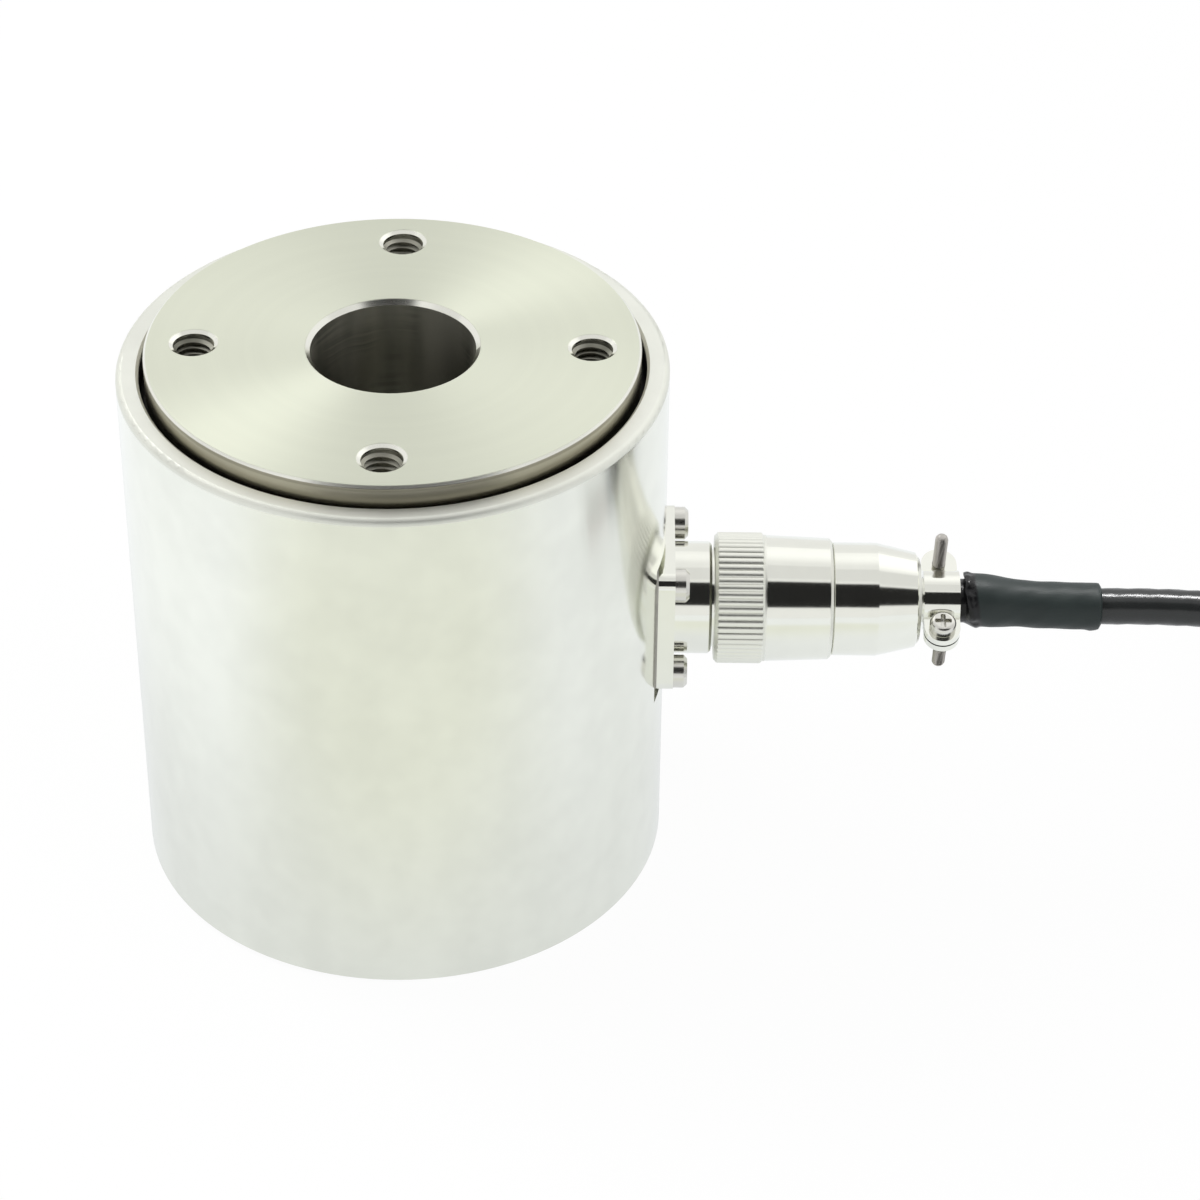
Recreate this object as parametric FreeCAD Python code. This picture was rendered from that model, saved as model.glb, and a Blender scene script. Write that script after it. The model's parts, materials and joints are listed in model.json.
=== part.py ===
import FreeCAD, Part
import math
import os

V = FreeCAD.Vector
ORIGIN = V(0, 0, 0)
X_AXIS = V(1, 0, 0)
Y_AXIS = V(0, 1, 0)
Z_AXIS = V(0, 0, 1)

# Ring load cell: a hollow column between two flanges, a sleeve round it and a screw-coupled lead.
# Millimetres. The base face is at z = 0, the bore is on Z and the connector leaves along +X.

# Cell body
BODY_DIAMETER = 80.0
TOTAL_HEIGHT = 87.5
FLANGE_PROUD = 2.8          # load face above the sleeve's rim
SLEEVE_WALL = 3.3
SLEEVE_LIFT = 0.4           # sleeve's lower edge above the base face
SLEEVE_SEAT = 0.8           # width of the ledge inside the sleeve that rests on the base flange
SLEEVE_FIT = 0.05
RIM_GAP = 0.8               # open ring between top flange and sleeve
RIM_ROUND = 0.9
BORE_DIAMETER = 24.0
BORE_CHAMFER = 0.7
EDGE_CHAMFER = 0.4
COLUMN_DIAMETER = 44.0
COLUMN_FILLET = 3.0
BASE_THICKNESS = 15.0
TOP_THICKNESS = 15.5

# Tapped holes in both load faces, M6
TAP_DIAMETER = 6.0
TAP_MOUTH_DIAMETER = 7.3
TAP_MOUTH_DEPTH = 0.4
TAP_DEPTH = 10.0
TAP_CIRCLE = 57.5
TAP_COUNT = 4
DRILL_POINT_ANGLE = 118.0

# O-ring in the top flange's rim
SEAL_SECTION = 2.2
SEAL_DEPTH = 7.0            # below the load face
SEAL_GROOVE_CLEARANCE = 0.3
SEAL_FIT = 0.02

# Strain gauges on the column, and their wiring
GAUGE_COUNT = 4
GAUGE_LENGTH = 10.0
GAUGE_WIDTH = 6.0
GAUGE_THICKNESS = 0.15
GAUGE_LEAD_DIAMETER = 0.5
GAUGE_LEAD_SPACING = 2.6
BOARD_THICKNESS = 1.6
BOARD_WIDTH = 7.0
BOARD_CLEARANCE = 0.5
RESISTOR_LENGTH = 3.2
RESISTOR_WIDTH = 1.6
RESISTOR_HEIGHT = 0.6
SOLDER_GAP = 0.2
WIRE_DIAMETER = 1.2

# Connector receptacle. Its axis is level; lengths run outward from the milled flat.
CONNECTOR_HEIGHT = 43.0
FLAT_DEPTH = 1.4
FLAT_MARGIN = 1.75          # flat above and below the square flange
GASKET_THICKNESS = 0.3
FLANGE_MARGIN = 2.5         # square flange beyond its screws' centres
FLANGE_CORNER = 2.0
FLANGE_THICKNESS = 2.5
BOSS_DIAMETER = 15.2
BOSS_LENGTH = 6.0
BOSS_CLEARANCE = 0.2
BARREL_DIAMETER = 17.0
BARREL_LENGTH = 5.6
THREAD_DIAMETER = 16.0      # M16 x 1 coupling thread
THREAD_DEPTH = 0.55
THREAD_LENGTH = 7.5
INSERT_BORE = 12.6
INSERT_FIT = 0.03
INSERT_DEPTH = 9.0          # front face of the insert behind the receptacle's mouth
INSERT_LENGTH = 10.0
INSERT_LEDGE = 0.7
LOCK_RING_LENGTH = 1.0
LOCK_RING_WIDTH = 0.8
KEY_WIDTH = 1.6
KEY_HEIGHT = 1.2

# Contacts
CONTACT_COUNT = 4
CONTACT_CIRCLE = 6.4
PIN_DIAMETER = 1.6
PIN_REACH = 6.5             # pin beyond the receptacle insert
CUP_DIAMETER = 2.2
CUP_BORE = 1.4
CUP_LENGTH = 2.8
CUP_DEPTH = 1.6
SOCKET_DIAMETER = 2.5
SOCKET_FIT = 0.05
CONTACT_FIT = 0.02

# Flange screws, M2.5
SCREW_SPACING = 16.0
SCREW_DIAMETER = 2.5
SCREW_FIT = 0.02
SCREW_CLEARANCE = 0.15
SCREW_HEAD_DIAMETER = 5.0
SCREW_HEAD_HEIGHT = 2.1
SCREW_HEAD_CLEARANCE = 0.05
SCREW_LENGTH = 5.0
RECESS_WIDTH = 0.7
RECESS_DEPTH = 1.0
RECESS_SHARE = 0.62         # recess length over head diameter

# Coupling nut
NUT_GAP = 0.5
NUT_LENGTH = 17.6
NUT_FRONT_DIAMETER = 19.1
NUT_REAR_DIAMETER = 18.35
NUT_THREAD_CLEARANCE = 0.1
NUT_LIP_LENGTH = 2.5
NUT_PLAY = 0.3
NUT_RUNNING_FIT = 0.05
KNURL_DIAMETER = 19.8
KNURL_DEPTH = 0.2
KNURL_LENGTH = 7.5
KNURL_RIBS = 56
KNURL_CHAMFER = 0.5

# Plug
SKIRT_CLEARANCE = 0.25
SKIRT_WALL = 0.85
SKIRT_INSET = 0.4           # skirt's nose in front of the lock ring
KEY_CLEARANCE = 0.3
COLLAR_LENGTH = 2.8
COLLAR_CLEARANCE = 0.3
NECK_DIAMETER = 12.8
NECK_LENGTH = 10.0
PLUG_INSERT_LENGTH = 14.0
SHELL_FIT = 0.03
SHELL_DIAMETER = 17.1
SHOULDER_GAP = 0.12         # between the nut's rear end and the shell's shoulder
SHOULDER_CHAMFER = 0.15
SHELL_STRAIGHT = 6.68
SHELL_TAPER = 5.9
SHELL_TAPER_DIAMETER = 14.35
SHELL_END = 0.6
SHELL_END_DIAMETER = 13.4
SHELL_WALL = 1.6
TAIL_LENGTH = 2.6           # grooved tail of the shell inside the clamp
TAIL_WALL = 0.5
TAIL_BEAD = 0.3

# Cable clamp: two strap halves and two M2 screws, turned about the connector's axis
CLAMP_TURN = 15.5
CLAMP_GAP = 0.3             # between the halves
CLAMP_OFFSET = 0.6
CLAMP_WIDTH = 5.4
CLAMP_STRAP = 1.1
CLAMP_FIT = 0.05
CLAMP_SCREW_SPACING = 12.2
CLAMP_SCREW_DIAMETER = 2.0
CLAMP_SCREW_LENGTH = 9.0
CLAMP_SCREW_POINT = 0.8
CLAMP_HEAD_DIAMETER = 4.0
CLAMP_HEAD_HEIGHT = 1.6

# Lead
CABLE_DIAMETER = 5.6
CABLE_FIT = 0.05
CABLE_ENTRY = 1.5           # cable inside the back shell, ahead of its end wall
CORE_DIAMETER = 1.1
CORE_CIRCLE = 2.6
SHRINK_LENGTH = 24.8
SHRINK_ROOT_DIAMETER = 8.3
SHRINK_ROOT_LENGTH = 4.5
SHRINK_TAPER_LENGTH = 8.0
SHRINK_DIAMETER = 7.0
SHRINK_CLEARANCE = 0.3
COIL_ROWS = 4
COIL_COLUMNS = 4
COIL_MEAN_DIAMETER = 64.0
COIL_X = 182.0
COIL_Y = 26.0
TIE_WIDTH = 8.0
TIE_THICKNESS = 0.8
TIE_AZIMUTH = -50.0
LEAD_END_DIAMETER = 1.2
LEAD_END_LENGTH = 34.0
LEAD_END_SPREAD = 3.2
LEAD_END_BEND = 0.4         # place of each bend along the stripped core
LEAD_END_OPENING = 0.3      # share of the spread reached at the bend

# Route of the lead from the plug to the coil, and from the coil to the stripped end
CABLE_ROUTE = [
    V(75.6, 0, 43.0),
    V(88.5, 0, 43.0),
    V(99.5, 0, 42.1),
    V(118.0, -0.2, 42.5),
    V(135.0, -1.8, 42.0),
    V(151.0, -6.0, 34.6),
    V(165.5, -11.0, 26.4),
    V(178.5, -13.8, 21.2),
]
TAIL_ROUTE = [
    V(141.2, 30.0, 2.8),
    V(140.6, 14.0, 2.8),
    V(139.2, -3.0, 2.8),
]
ARC_SHARE = 0.45

# Worked-out sizes
body_r = BODY_DIAMETER / 2
bore_r = BORE_DIAMETER / 2
column_r = COLUMN_DIAMETER / 2
rim_z = TOTAL_HEIGHT - FLANGE_PROUD
sleeve_r = body_r - SLEEVE_WALL
seat_r = sleeve_r + SLEEVE_SEAT
base_r = seat_r - SLEEVE_FIT
flange_r = sleeve_r - RIM_GAP
top_z = TOTAL_HEIGHT - TOP_THICKNESS
gauge_z = (BASE_THICKNESS + top_z) / 2
gauge_turn = 90.0 / GAUGE_COUNT     # leaves the connector's side of the column free for its wires
board_z = BASE_THICKNESS + BOARD_THICKNESS
board_r = column_r + COLUMN_FILLET + BOARD_CLEARANCE
flat_x = body_r - FLAT_DEPTH

flange_size = SCREW_SPACING + 2 * FLANGE_MARGIN
flat_height = flange_size + 2 * FLAT_MARGIN
flange_back = GASKET_THICKNESS
flange_front = flange_back + FLANGE_THICKNESS
barrel_end = flange_front + BARREL_LENGTH
mouth_x = barrel_end + THREAD_LENGTH
boss_end = flange_back - BOSS_LENGTH
thread_r = THREAD_DIAMETER / 2
insert_r = INSERT_BORE / 2
insert_front = mouth_x - INSERT_DEPTH
insert_back = insert_front - INSERT_LENGTH
lock_front = insert_front + LOCK_RING_LENGTH
pin_tip = insert_front + PIN_REACH
cup_front = boss_end - SOLDER_GAP
cup_back = cup_front - CUP_LENGTH

nut_front = barrel_end + NUT_GAP
nut_back = nut_front + NUT_LENGTH
nut_bore_r = thread_r + NUT_THREAD_CLEARANCE
collar_front = mouth_x + NUT_PLAY
collar_back = collar_front + COLLAR_LENGTH
collar_r = nut_bore_r - COLLAR_CLEARANCE
lip_front = collar_back + NUT_PLAY
lip_back = lip_front + NUT_LIP_LENGTH
neck_r = NECK_DIAMETER / 2
neck_back = collar_back + NECK_LENGTH
skirt_front = lock_front + SKIRT_INSET
skirt_r = insert_r - SKIRT_CLEARANCE
plug_bore_r = skirt_r - SKIRT_WALL
plug_insert_back = skirt_front + PLUG_INSERT_LENGTH
plug_cup_back = plug_insert_back + CUP_LENGTH

shell_front = lip_back + NUT_PLAY
shoulder_x = nut_back + SHOULDER_GAP
taper_x = shoulder_x + SHELL_STRAIGHT
round_x = taper_x + SHELL_TAPER
shell_back = round_x + SHELL_END
tail_back = shell_back + TAIL_LENGTH
cable_r = CABLE_DIAMETER / 2
tail_bore_r = cable_r + CABLE_FIT
tail_r = tail_bore_r + TAIL_WALL
clamp_front = shell_back + CLAMP_OFFSET
clamp_back = clamp_front + CLAMP_WIDTH
clamp_bore_r = tail_r + CLAMP_FIT
clamp_r = clamp_bore_r + CLAMP_STRAP
lug_top = CLAMP_GAP / 2 + CLAMP_STRAP
coil_centre = V(COIL_X, COIL_Y, 0)
coil_r = COIL_MEAN_DIAMETER / 2
coil_half_width = COIL_COLUMNS * CABLE_DIAMETER / 2
coil_height = COIL_ROWS * CABLE_DIAMETER


def outline_face(points):
    """Flat face inside a closed outline of corner points."""
    return Part.Face(Part.makePolygon(points + points[:1]))


def turned_upright(outline):
    """Solid turned about Z from a closed outline of (radius, height) corners."""
    face = outline_face([V(r, 0, z) for r, z in outline])
    return face.revolve(ORIGIN, Z_AXIS, 360)


def turned_level(outline):
    """Solid turned about the connector's axis from a closed outline of (distance, radius) corners."""
    face = outline_face([V(x, 0, r) for x, r in outline])
    return face.revolve(ORIGIN, X_AXIS, 360)


def tube_level(start, end, outer_r, inner_r):
    """Plain tube on the connector's axis."""
    return turned_level([(start, inner_r), (end, inner_r), (end, outer_r), (start, outer_r)])


def rod_level(start, end, radius, y, z):
    """Plain rod beside the connector's axis."""
    return Part.makeCylinder(radius, end - start, V(start, y, z), X_AXIS)


def at_connector(shape):
    """Move a shape from the connector's own axis and flat to its place on the cell."""
    shape.translate(V(flat_x, 0, CONNECTOR_HEIGHT))
    return shape


def circle_edges(shape, radius, z):
    """Full circular edges about Z with the given radius and height."""
    found = []
    for edge in shape.Edges:
        curve = edge.Curve
        if isinstance(curve, Part.Circle) and abs(curve.Radius - radius) < 1e-6:
            if abs(curve.Center.z - z) < 1e-6:
                found.append(edge)
    return found


def around(shape, count, start_angle):
    """Copies of a shape spaced evenly about Z."""
    copies = []
    for index in range(count):
        copy = shape.copy()
        copy.rotate(ORIGIN, Z_AXIS, start_angle + 360.0 * index / count)
        copies.append(copy)
    return copies


def spread_level(shape, places):
    """Copies of a shape at offsets (y, z) from the connector's axis, moved to the cell."""
    copies = []
    for y, z in places:
        copy = shape.copy()
        copy.translate(V(0, y, z))
        copies.append(at_connector(copy))
    return Part.Compound(copies)


def contact_places():
    """Offsets (y, z) of the contacts from the connector's axis."""
    places = []
    for index in range(CONTACT_COUNT):
        angle = 2 * math.pi * (index + 0.5) / CONTACT_COUNT
        places.append((CONTACT_CIRCLE / 2 * math.cos(angle), CONTACT_CIRCLE / 2 * math.sin(angle)))
    return places


def screw_places():
    """Offsets (y, z) of the flange screws from the connector's axis."""
    half = SCREW_SPACING / 2
    return [(-half, -half), (half, -half), (half, half), (-half, half)]


def tapped_hole():
    """Blind tapped hole with a countersunk mouth at z = 0, drilled downward with a drill point."""
    tap_r = TAP_DIAMETER / 2
    mouth_r = TAP_MOUTH_DIAMETER / 2
    point = tap_r / math.tan(math.radians(DRILL_POINT_ANGLE / 2))
    hole = turned_upright([
        (0, 0), (mouth_r, 0), (tap_r, -TAP_MOUTH_DEPTH), (tap_r, -TAP_DEPTH), (0, -TAP_DEPTH - point)])
    hole.translate(V(TAP_CIRCLE / 2, 0, 0))
    return hole


def elastic_element():
    """One-piece spool: base flange, hollow column and top flange with a groove for the seal."""
    seal_z = TOTAL_HEIGHT - SEAL_DEPTH
    groove_half = SEAL_SECTION / 2 + SEAL_GROOVE_CLEARANCE
    groove_r = sleeve_r - SEAL_SECTION
    spool = turned_upright([
        (bore_r + BORE_CHAMFER, 0), (base_r - EDGE_CHAMFER, 0), (base_r, EDGE_CHAMFER),
        (base_r, BASE_THICKNESS), (column_r, BASE_THICKNESS), (column_r, top_z), (flange_r, top_z),
        (flange_r, seal_z - groove_half), (groove_r, seal_z - groove_half),
        (groove_r, seal_z + groove_half), (flange_r, seal_z + groove_half),
        (flange_r, TOTAL_HEIGHT - EDGE_CHAMFER), (flange_r - EDGE_CHAMFER, TOTAL_HEIGHT),
        (bore_r + BORE_CHAMFER, TOTAL_HEIGHT), (bore_r, TOTAL_HEIGHT - BORE_CHAMFER),
        (bore_r, BORE_CHAMFER)])
    corners = circle_edges(spool, column_r, BASE_THICKNESS) + circle_edges(spool, column_r, top_z)
    spool = spool.makeFillet(COLUMN_FILLET, corners)
    top_hole = tapped_hole()
    base_hole = tapped_hole()
    base_hole.rotate(ORIGIN, X_AXIS, 180)
    top_hole.translate(V(0, 0, TOTAL_HEIGHT))
    holes = around(top_hole, TAP_COUNT, 0) + around(base_hole, TAP_COUNT, 0)
    return spool.cut(holes)


def outer_sleeve():
    """Tube that rests on the base flange, with the milled flat and holes for the connector."""
    sleeve = turned_upright([
        (seat_r, SLEEVE_LIFT), (body_r - EDGE_CHAMFER, SLEEVE_LIFT), (body_r, SLEEVE_LIFT + EDGE_CHAMFER),
        (body_r, rim_z), (sleeve_r + EDGE_CHAMFER, rim_z), (sleeve_r, rim_z - EDGE_CHAMFER),
        (sleeve_r, BASE_THICKNESS), (seat_r, BASE_THICKNESS)])
    sleeve = sleeve.makeFillet(RIM_ROUND, circle_edges(sleeve, body_r, rim_z))
    flat = Part.makeBox(body_r, BODY_DIAMETER, flat_height, V(0, -body_r, -flat_height / 2))
    cuts = [flat, rod_level(-body_r, 0, BOSS_DIAMETER / 2 + BOSS_CLEARANCE, 0, 0)]
    for y, z in screw_places():
        cuts.append(rod_level(-body_r / 2, 0, SCREW_DIAMETER / 2 + SCREW_FIT, y, z))
    return sleeve.cut([at_connector(cut) for cut in cuts])


def rim_seal_ring():
    """O-ring between the top flange's groove and the sleeve."""
    ring = Part.makeTorus(sleeve_r - SEAL_SECTION / 2, SEAL_SECTION / 2 - SEAL_FIT)
    ring.translate(V(0, 0, TOTAL_HEIGHT - SEAL_DEPTH))
    return ring


def gauge(width, height):
    """Foil gauge wrapped on the column, centred on +X."""
    half = math.degrees(width / 2 / column_r)
    outline = outline_face([
        V(column_r, 0, gauge_z - height / 2), V(column_r + GAUGE_THICKNESS, 0, gauge_z - height / 2),
        V(column_r + GAUGE_THICKNESS, 0, gauge_z + height / 2), V(column_r, 0, gauge_z + height / 2)])
    outline.rotate(ORIGIN, Z_AXIS, -half)
    return outline.revolve(ORIGIN, Z_AXIS, 2 * half)


def axial_strain_gauges():
    """Gauges along the load, each midway between two gauges across it."""
    start_angle = gauge_turn + 180.0 / GAUGE_COUNT
    return Part.Compound(around(gauge(GAUGE_WIDTH, GAUGE_LENGTH), GAUGE_COUNT, start_angle))


def transverse_strain_gauges():
    """Gauges across the load, to one side of the quarter lines."""
    return Part.Compound(around(gauge(GAUGE_LENGTH, GAUGE_WIDTH), GAUGE_COUNT, gauge_turn))


def gauge_leads():
    """Two fine leads from the lower edge of each gauge to the terminal board."""
    lead_r = GAUGE_LEAD_DIAMETER / 2
    leads = []
    for height, turn in ((GAUGE_LENGTH, 180.0 / GAUGE_COUNT), (GAUGE_WIDTH, 0)):
        for side in (-1, 1):
            y = side * GAUGE_LEAD_SPACING / 2
            top = V(column_r + GAUGE_THICKNESS + lead_r, y, gauge_z - height / 2 - lead_r)
            foot = V(board_r + lead_r, y, board_z + SOLDER_GAP)
            lead = Part.makeCylinder(lead_r, (foot - top).Length, top, foot - top)
            leads += around(lead, GAUGE_COUNT, gauge_turn + turn)
    return Part.Compound(leads)


def terminal_board():
    """Ring-shaped board bonded to the base flange round the column."""
    return turned_upright([
        (board_r, BASE_THICKNESS), (board_r + BOARD_WIDTH, BASE_THICKNESS),
        (board_r + BOARD_WIDTH, board_z), (board_r, board_z)])


def trim_resistors():
    """Chip resistors on the terminal board, one between each pair of gauges."""
    corner = V(board_r + BOARD_WIDTH / 2 - RESISTOR_WIDTH / 2, -RESISTOR_LENGTH / 2, board_z)
    chip = Part.makeBox(RESISTOR_WIDTH, RESISTOR_LENGTH, RESISTOR_HEIGHT, corner)
    return Part.Compound(around(chip, GAUGE_COUNT, gauge_turn + 90.0 / GAUGE_COUNT))


def route_wire(points):
    """Straight runs joined by tangent arcs, each as large as its two runs allow."""
    edges = []
    start = points[0]
    radii = []
    for before, corner, after in zip(points, points[1:], points[2:]):
        back = before - corner
        ahead = after - corner
        reach = ARC_SHARE * min(back.Length, ahead.Length)
        half_turn = (math.pi - back.getAngle(ahead)) / 2
        radius = reach / math.tan(half_turn)
        radii.append(round(radius, 1))
        enter = corner + back.normalize() * reach
        leave = corner + ahead.normalize() * reach
        inward = (back + ahead).normalize()
        middle = corner + inward * (radius / math.cos(half_turn) - radius)
        edges.append(Part.LineSegment(start, enter).toShape())
        edges.append(Part.Arc(enter, middle, leave).toShape())
        start = leave
    edges.append(Part.LineSegment(start, points[-1]).toShape())
    return Part.Wire(edges), radii


def tube_along(points, radius, label):
    """Round solid along a route; prints its bend radii and compares its volume with section times length."""
    wire, radii = route_wire(points)
    heading = points[1] - points[0]
    section = Part.Wire(Part.makeCircle(radius, points[0], heading))
    tube = wire.makePipeShell([section], True, False)
    if label:
        share = tube.Volume / (math.pi * radius ** 2 * wire.Length)
        print(label, "length", round(wire.Length, 1), "bend radii", radii, "volume share", round(share, 4))
    return tube


def signal_wires():
    """Wires from the receptacle's solder cups, bent down beside the column to the terminal board."""
    wires = []
    mouth = flat_x + cup_back + CUP_DEPTH - SOLDER_GAP
    middle = (column_r + flat_x + cup_back) / 2
    stagger = WIRE_DIAMETER / 2 + 2 * SOLDER_GAP
    for y, z in contact_places():
        level = CONNECTOR_HEIGHT + z
        corner = V(middle + stagger, y, level)
        foot = V(board_r + BOARD_WIDTH / 2, y, board_z + SOLDER_GAP)
        if z > 0:
            corner.x = middle - stagger
            foot.x = board_r + WIRE_DIAMETER
        wires.append(tube_along([V(mouth, y, level), corner, foot], WIRE_DIAMETER / 2, ""))
    return Part.Compound(wires)


def square_plate(start, thickness):
    """Square plate with rounded corners and screw holes, across the connector's axis."""
    half = flange_size / 2
    plate = Part.makeBox(thickness, flange_size, flange_size, V(start, -half, -half))
    corners = [edge for edge in plate.Edges if abs(edge.tangentAt(edge.FirstParameter).x) > 0.5]
    plate = plate.makeFillet(FLANGE_CORNER, corners)
    hole_r = SCREW_DIAMETER / 2 + SCREW_CLEARANCE
    return plate.cut([rod_level(start, start + thickness, hole_r, y, z) for y, z in screw_places()])


def flange_gasket():
    """Flat gasket between the milled flat and the receptacle's flange."""
    plate = square_plate(0, GASKET_THICKNESS)
    hole = rod_level(0, GASKET_THICKNESS, BOSS_DIAMETER / 2 + BOSS_CLEARANCE, 0, 0)
    return at_connector(plate.cut(hole))


def receptacle_shell():
    """Square-flanged shell: rear boss, plain barrel, root of the coupling thread, key inside the mouth."""
    barrel_r = BARREL_DIAMETER / 2
    root_r = thread_r - THREAD_DEPTH
    boss_r = BOSS_DIAMETER / 2
    body = turned_level([
        (boss_end, 0), (boss_end, boss_r), (flange_front, boss_r), (flange_front, barrel_r),
        (barrel_end - EDGE_CHAMFER, barrel_r), (barrel_end, barrel_r - EDGE_CHAMFER), (barrel_end, root_r),
        (mouth_x - EDGE_CHAMFER, root_r), (mouth_x, root_r - EDGE_CHAMFER), (mouth_x, 0)])
    bore = turned_level([
        (boss_end, 0), (boss_end, insert_r - INSERT_LEDGE), (insert_back, insert_r - INSERT_LEDGE),
        (insert_back, insert_r), (mouth_x, insert_r), (mouth_x, 0)])
    head_seat_r = SCREW_HEAD_DIAMETER / 2 + SCREW_HEAD_CLEARANCE
    seats = [rod_level(flange_front, barrel_end, head_seat_r, y, z) for y, z in screw_places()]
    shell = body.fuse(square_plate(flange_back, FLANGE_THICKNESS)).cut([bore] + seats)
    key_length = mouth_x - EDGE_CHAMFER - lock_front
    key_corner = V(lock_front, -KEY_WIDTH / 2, insert_r - KEY_HEIGHT)
    key = Part.makeBox(key_length, KEY_WIDTH, KEY_HEIGHT + THREAD_DEPTH, key_corner)
    return at_connector(shell.fuse(key).removeSplitter())


def receptacle_insert():
    """Moulded disc that carries the pins, with a spigot through the shell's ledge."""
    spigot_r = insert_r - INSERT_LEDGE - INSERT_FIT
    disc = turned_level([
        (boss_end, 0), (boss_end, spigot_r), (insert_back, spigot_r), (insert_back, insert_r - INSERT_FIT),
        (insert_front, insert_r - INSERT_FIT), (insert_front, 0)])
    hole_r = PIN_DIAMETER / 2 + CONTACT_FIT
    holes = [rod_level(boss_end, insert_front, hole_r, y, z) for y, z in contact_places()]
    return at_connector(disc.cut(holes))


def receptacle_pins():
    """Round-nosed pins with solder cups behind the insert."""
    pin_r = PIN_DIAMETER / 2
    cup_r = CUP_DIAMETER / 2
    cup_floor = cup_back + CUP_DEPTH
    pin = turned_level([
        (cup_floor, 0), (cup_floor, CUP_BORE / 2), (cup_back, CUP_BORE / 2), (cup_back, cup_r),
        (cup_front, cup_r), (cup_front, pin_r), (pin_tip - pin_r / 2, pin_r), (pin_tip, pin_r / 2),
        (pin_tip, 0)])
    return spread_level(pin, contact_places())


def insert_lock_ring():
    """Ring that holds the insert against the shell's ledge."""
    outer_r = insert_r - INSERT_FIT
    return at_connector(tube_level(insert_front, lock_front, outer_r, insert_r - LOCK_RING_WIDTH))


def cross_recessed_screw(diameter, length, point, head_diameter, head_height):
    """Screw on -Z with its head's underside at z = 0, a domed head edge and a cross recess."""
    radius = diameter / 2
    head_r = head_diameter / 2
    edge = head_height / 4
    screw = turned_upright([
        (0, -length), (radius - point, -length), (radius, -length + point), (radius, 0), (head_r, 0),
        (head_r, head_height - edge), (head_r - edge, head_height), (0, head_height)])
    span = RECESS_SHARE * head_diameter
    slot_corner = V(-span / 2, -RECESS_WIDTH / 2, head_height - RECESS_DEPTH)
    slot = Part.makeBox(span, RECESS_WIDTH, RECESS_DEPTH, slot_corner)
    return screw.cut([slot, slot.rotated(ORIGIN, Z_AXIS, 90)])


def flange_screws():
    """Screws through the square flange into the sleeve's wall."""
    screw = cross_recessed_screw(
        SCREW_DIAMETER, SCREW_LENGTH, EDGE_CHAMFER, SCREW_HEAD_DIAMETER, SCREW_HEAD_HEIGHT)
    screw.rotate(ORIGIN, Y_AXIS, 90)
    screw.translate(V(flange_front, 0, 0))
    return spread_level(screw, screw_places())


def knurled_band():
    """Straight-ribbed grip ring of the nut: round-backed ribs side by side, both ends chamfered."""
    crest_r = KNURL_DIAMETER / 2
    root_r = crest_r - KNURL_DEPTH
    half = math.pi / KNURL_RIBS
    backs = []
    for rib in range(KNURL_RIBS):
        crest = 2 * half * rib
        start, top, end = [
            V(nut_front, radius * math.cos(angle), radius * math.sin(angle))
            for radius, angle in ((root_r, crest - half), (crest_r, crest), (root_r, crest + half))]
        backs.append(Part.Arc(start, top, end).toShape())
    band = Part.Face(Part.Wire(backs)).extrude(V(KNURL_LENGTH, 0, 0))
    knurl_back = nut_front + KNURL_LENGTH
    end_r = crest_r - KNURL_CHAMFER
    envelope = turned_level([
        (nut_front, 0), (nut_front, end_r), (nut_front + KNURL_CHAMFER, crest_r),
        (knurl_back - KNURL_CHAMFER, crest_r), (knurl_back, end_r), (knurl_back, 0)])
    return band.common(envelope)


def coupling_nut():
    """Nut with a knurled grip, a plain rear and an inner lip that turns on the plug's neck."""
    front_r = NUT_FRONT_DIAMETER / 2
    rear_r = NUT_REAR_DIAMETER / 2
    sleeve = turned_level([
        (nut_front, 0), (nut_front, rear_r), (nut_front + KNURL_LENGTH, front_r),
        (nut_back - EDGE_CHAMFER, rear_r), (nut_back, rear_r - EDGE_CHAMFER), (nut_back, 0)])
    lip_r = neck_r + NUT_RUNNING_FIT
    bore = turned_level([
        (nut_front, 0), (nut_front, nut_bore_r + EDGE_CHAMFER), (nut_front + EDGE_CHAMFER, nut_bore_r),
        (lip_front, nut_bore_r), (lip_front, lip_r), (lip_back, lip_r), (lip_back, nut_bore_r),
        (nut_back, nut_bore_r), (nut_back, 0)])
    return at_connector(sleeve.fuse(knurled_band()).cut(bore).removeSplitter())


def key_slot():
    """Slot in the plug that clears the receptacle's key."""
    width = KEY_WIDTH + 2 * KEY_CLEARANCE
    height = KEY_HEIGHT + KEY_CLEARANCE
    return Part.makeBox(mouth_x - skirt_front, width, height, V(skirt_front, -width / 2, insert_r - height))


def plug_body():
    """Plug's inner body: keyed skirt, collar in front of the nut's lip, neck for nut and back shell."""
    ledge_r = plug_bore_r - INSERT_LEDGE
    body = turned_level([
        (skirt_front, plug_bore_r), (skirt_front, skirt_r), (collar_front, skirt_r), (collar_front, collar_r),
        (collar_back, collar_r), (collar_back, neck_r), (neck_back, neck_r), (neck_back, ledge_r),
        (plug_insert_back, ledge_r), (plug_insert_back, plug_bore_r)])
    return at_connector(body.cut(key_slot()))


def plug_insert():
    """Moulded disc that carries the sockets, grooved for the receptacle's key."""
    hole_r = SOCKET_DIAMETER / 2 + CONTACT_FIT
    disc = rod_level(skirt_front, plug_insert_back, plug_bore_r - INSERT_FIT, 0, 0)
    holes = [rod_level(skirt_front, plug_insert_back, hole_r, y, z) for y, z in contact_places()]
    return at_connector(disc.cut(holes + [key_slot()]))


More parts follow.
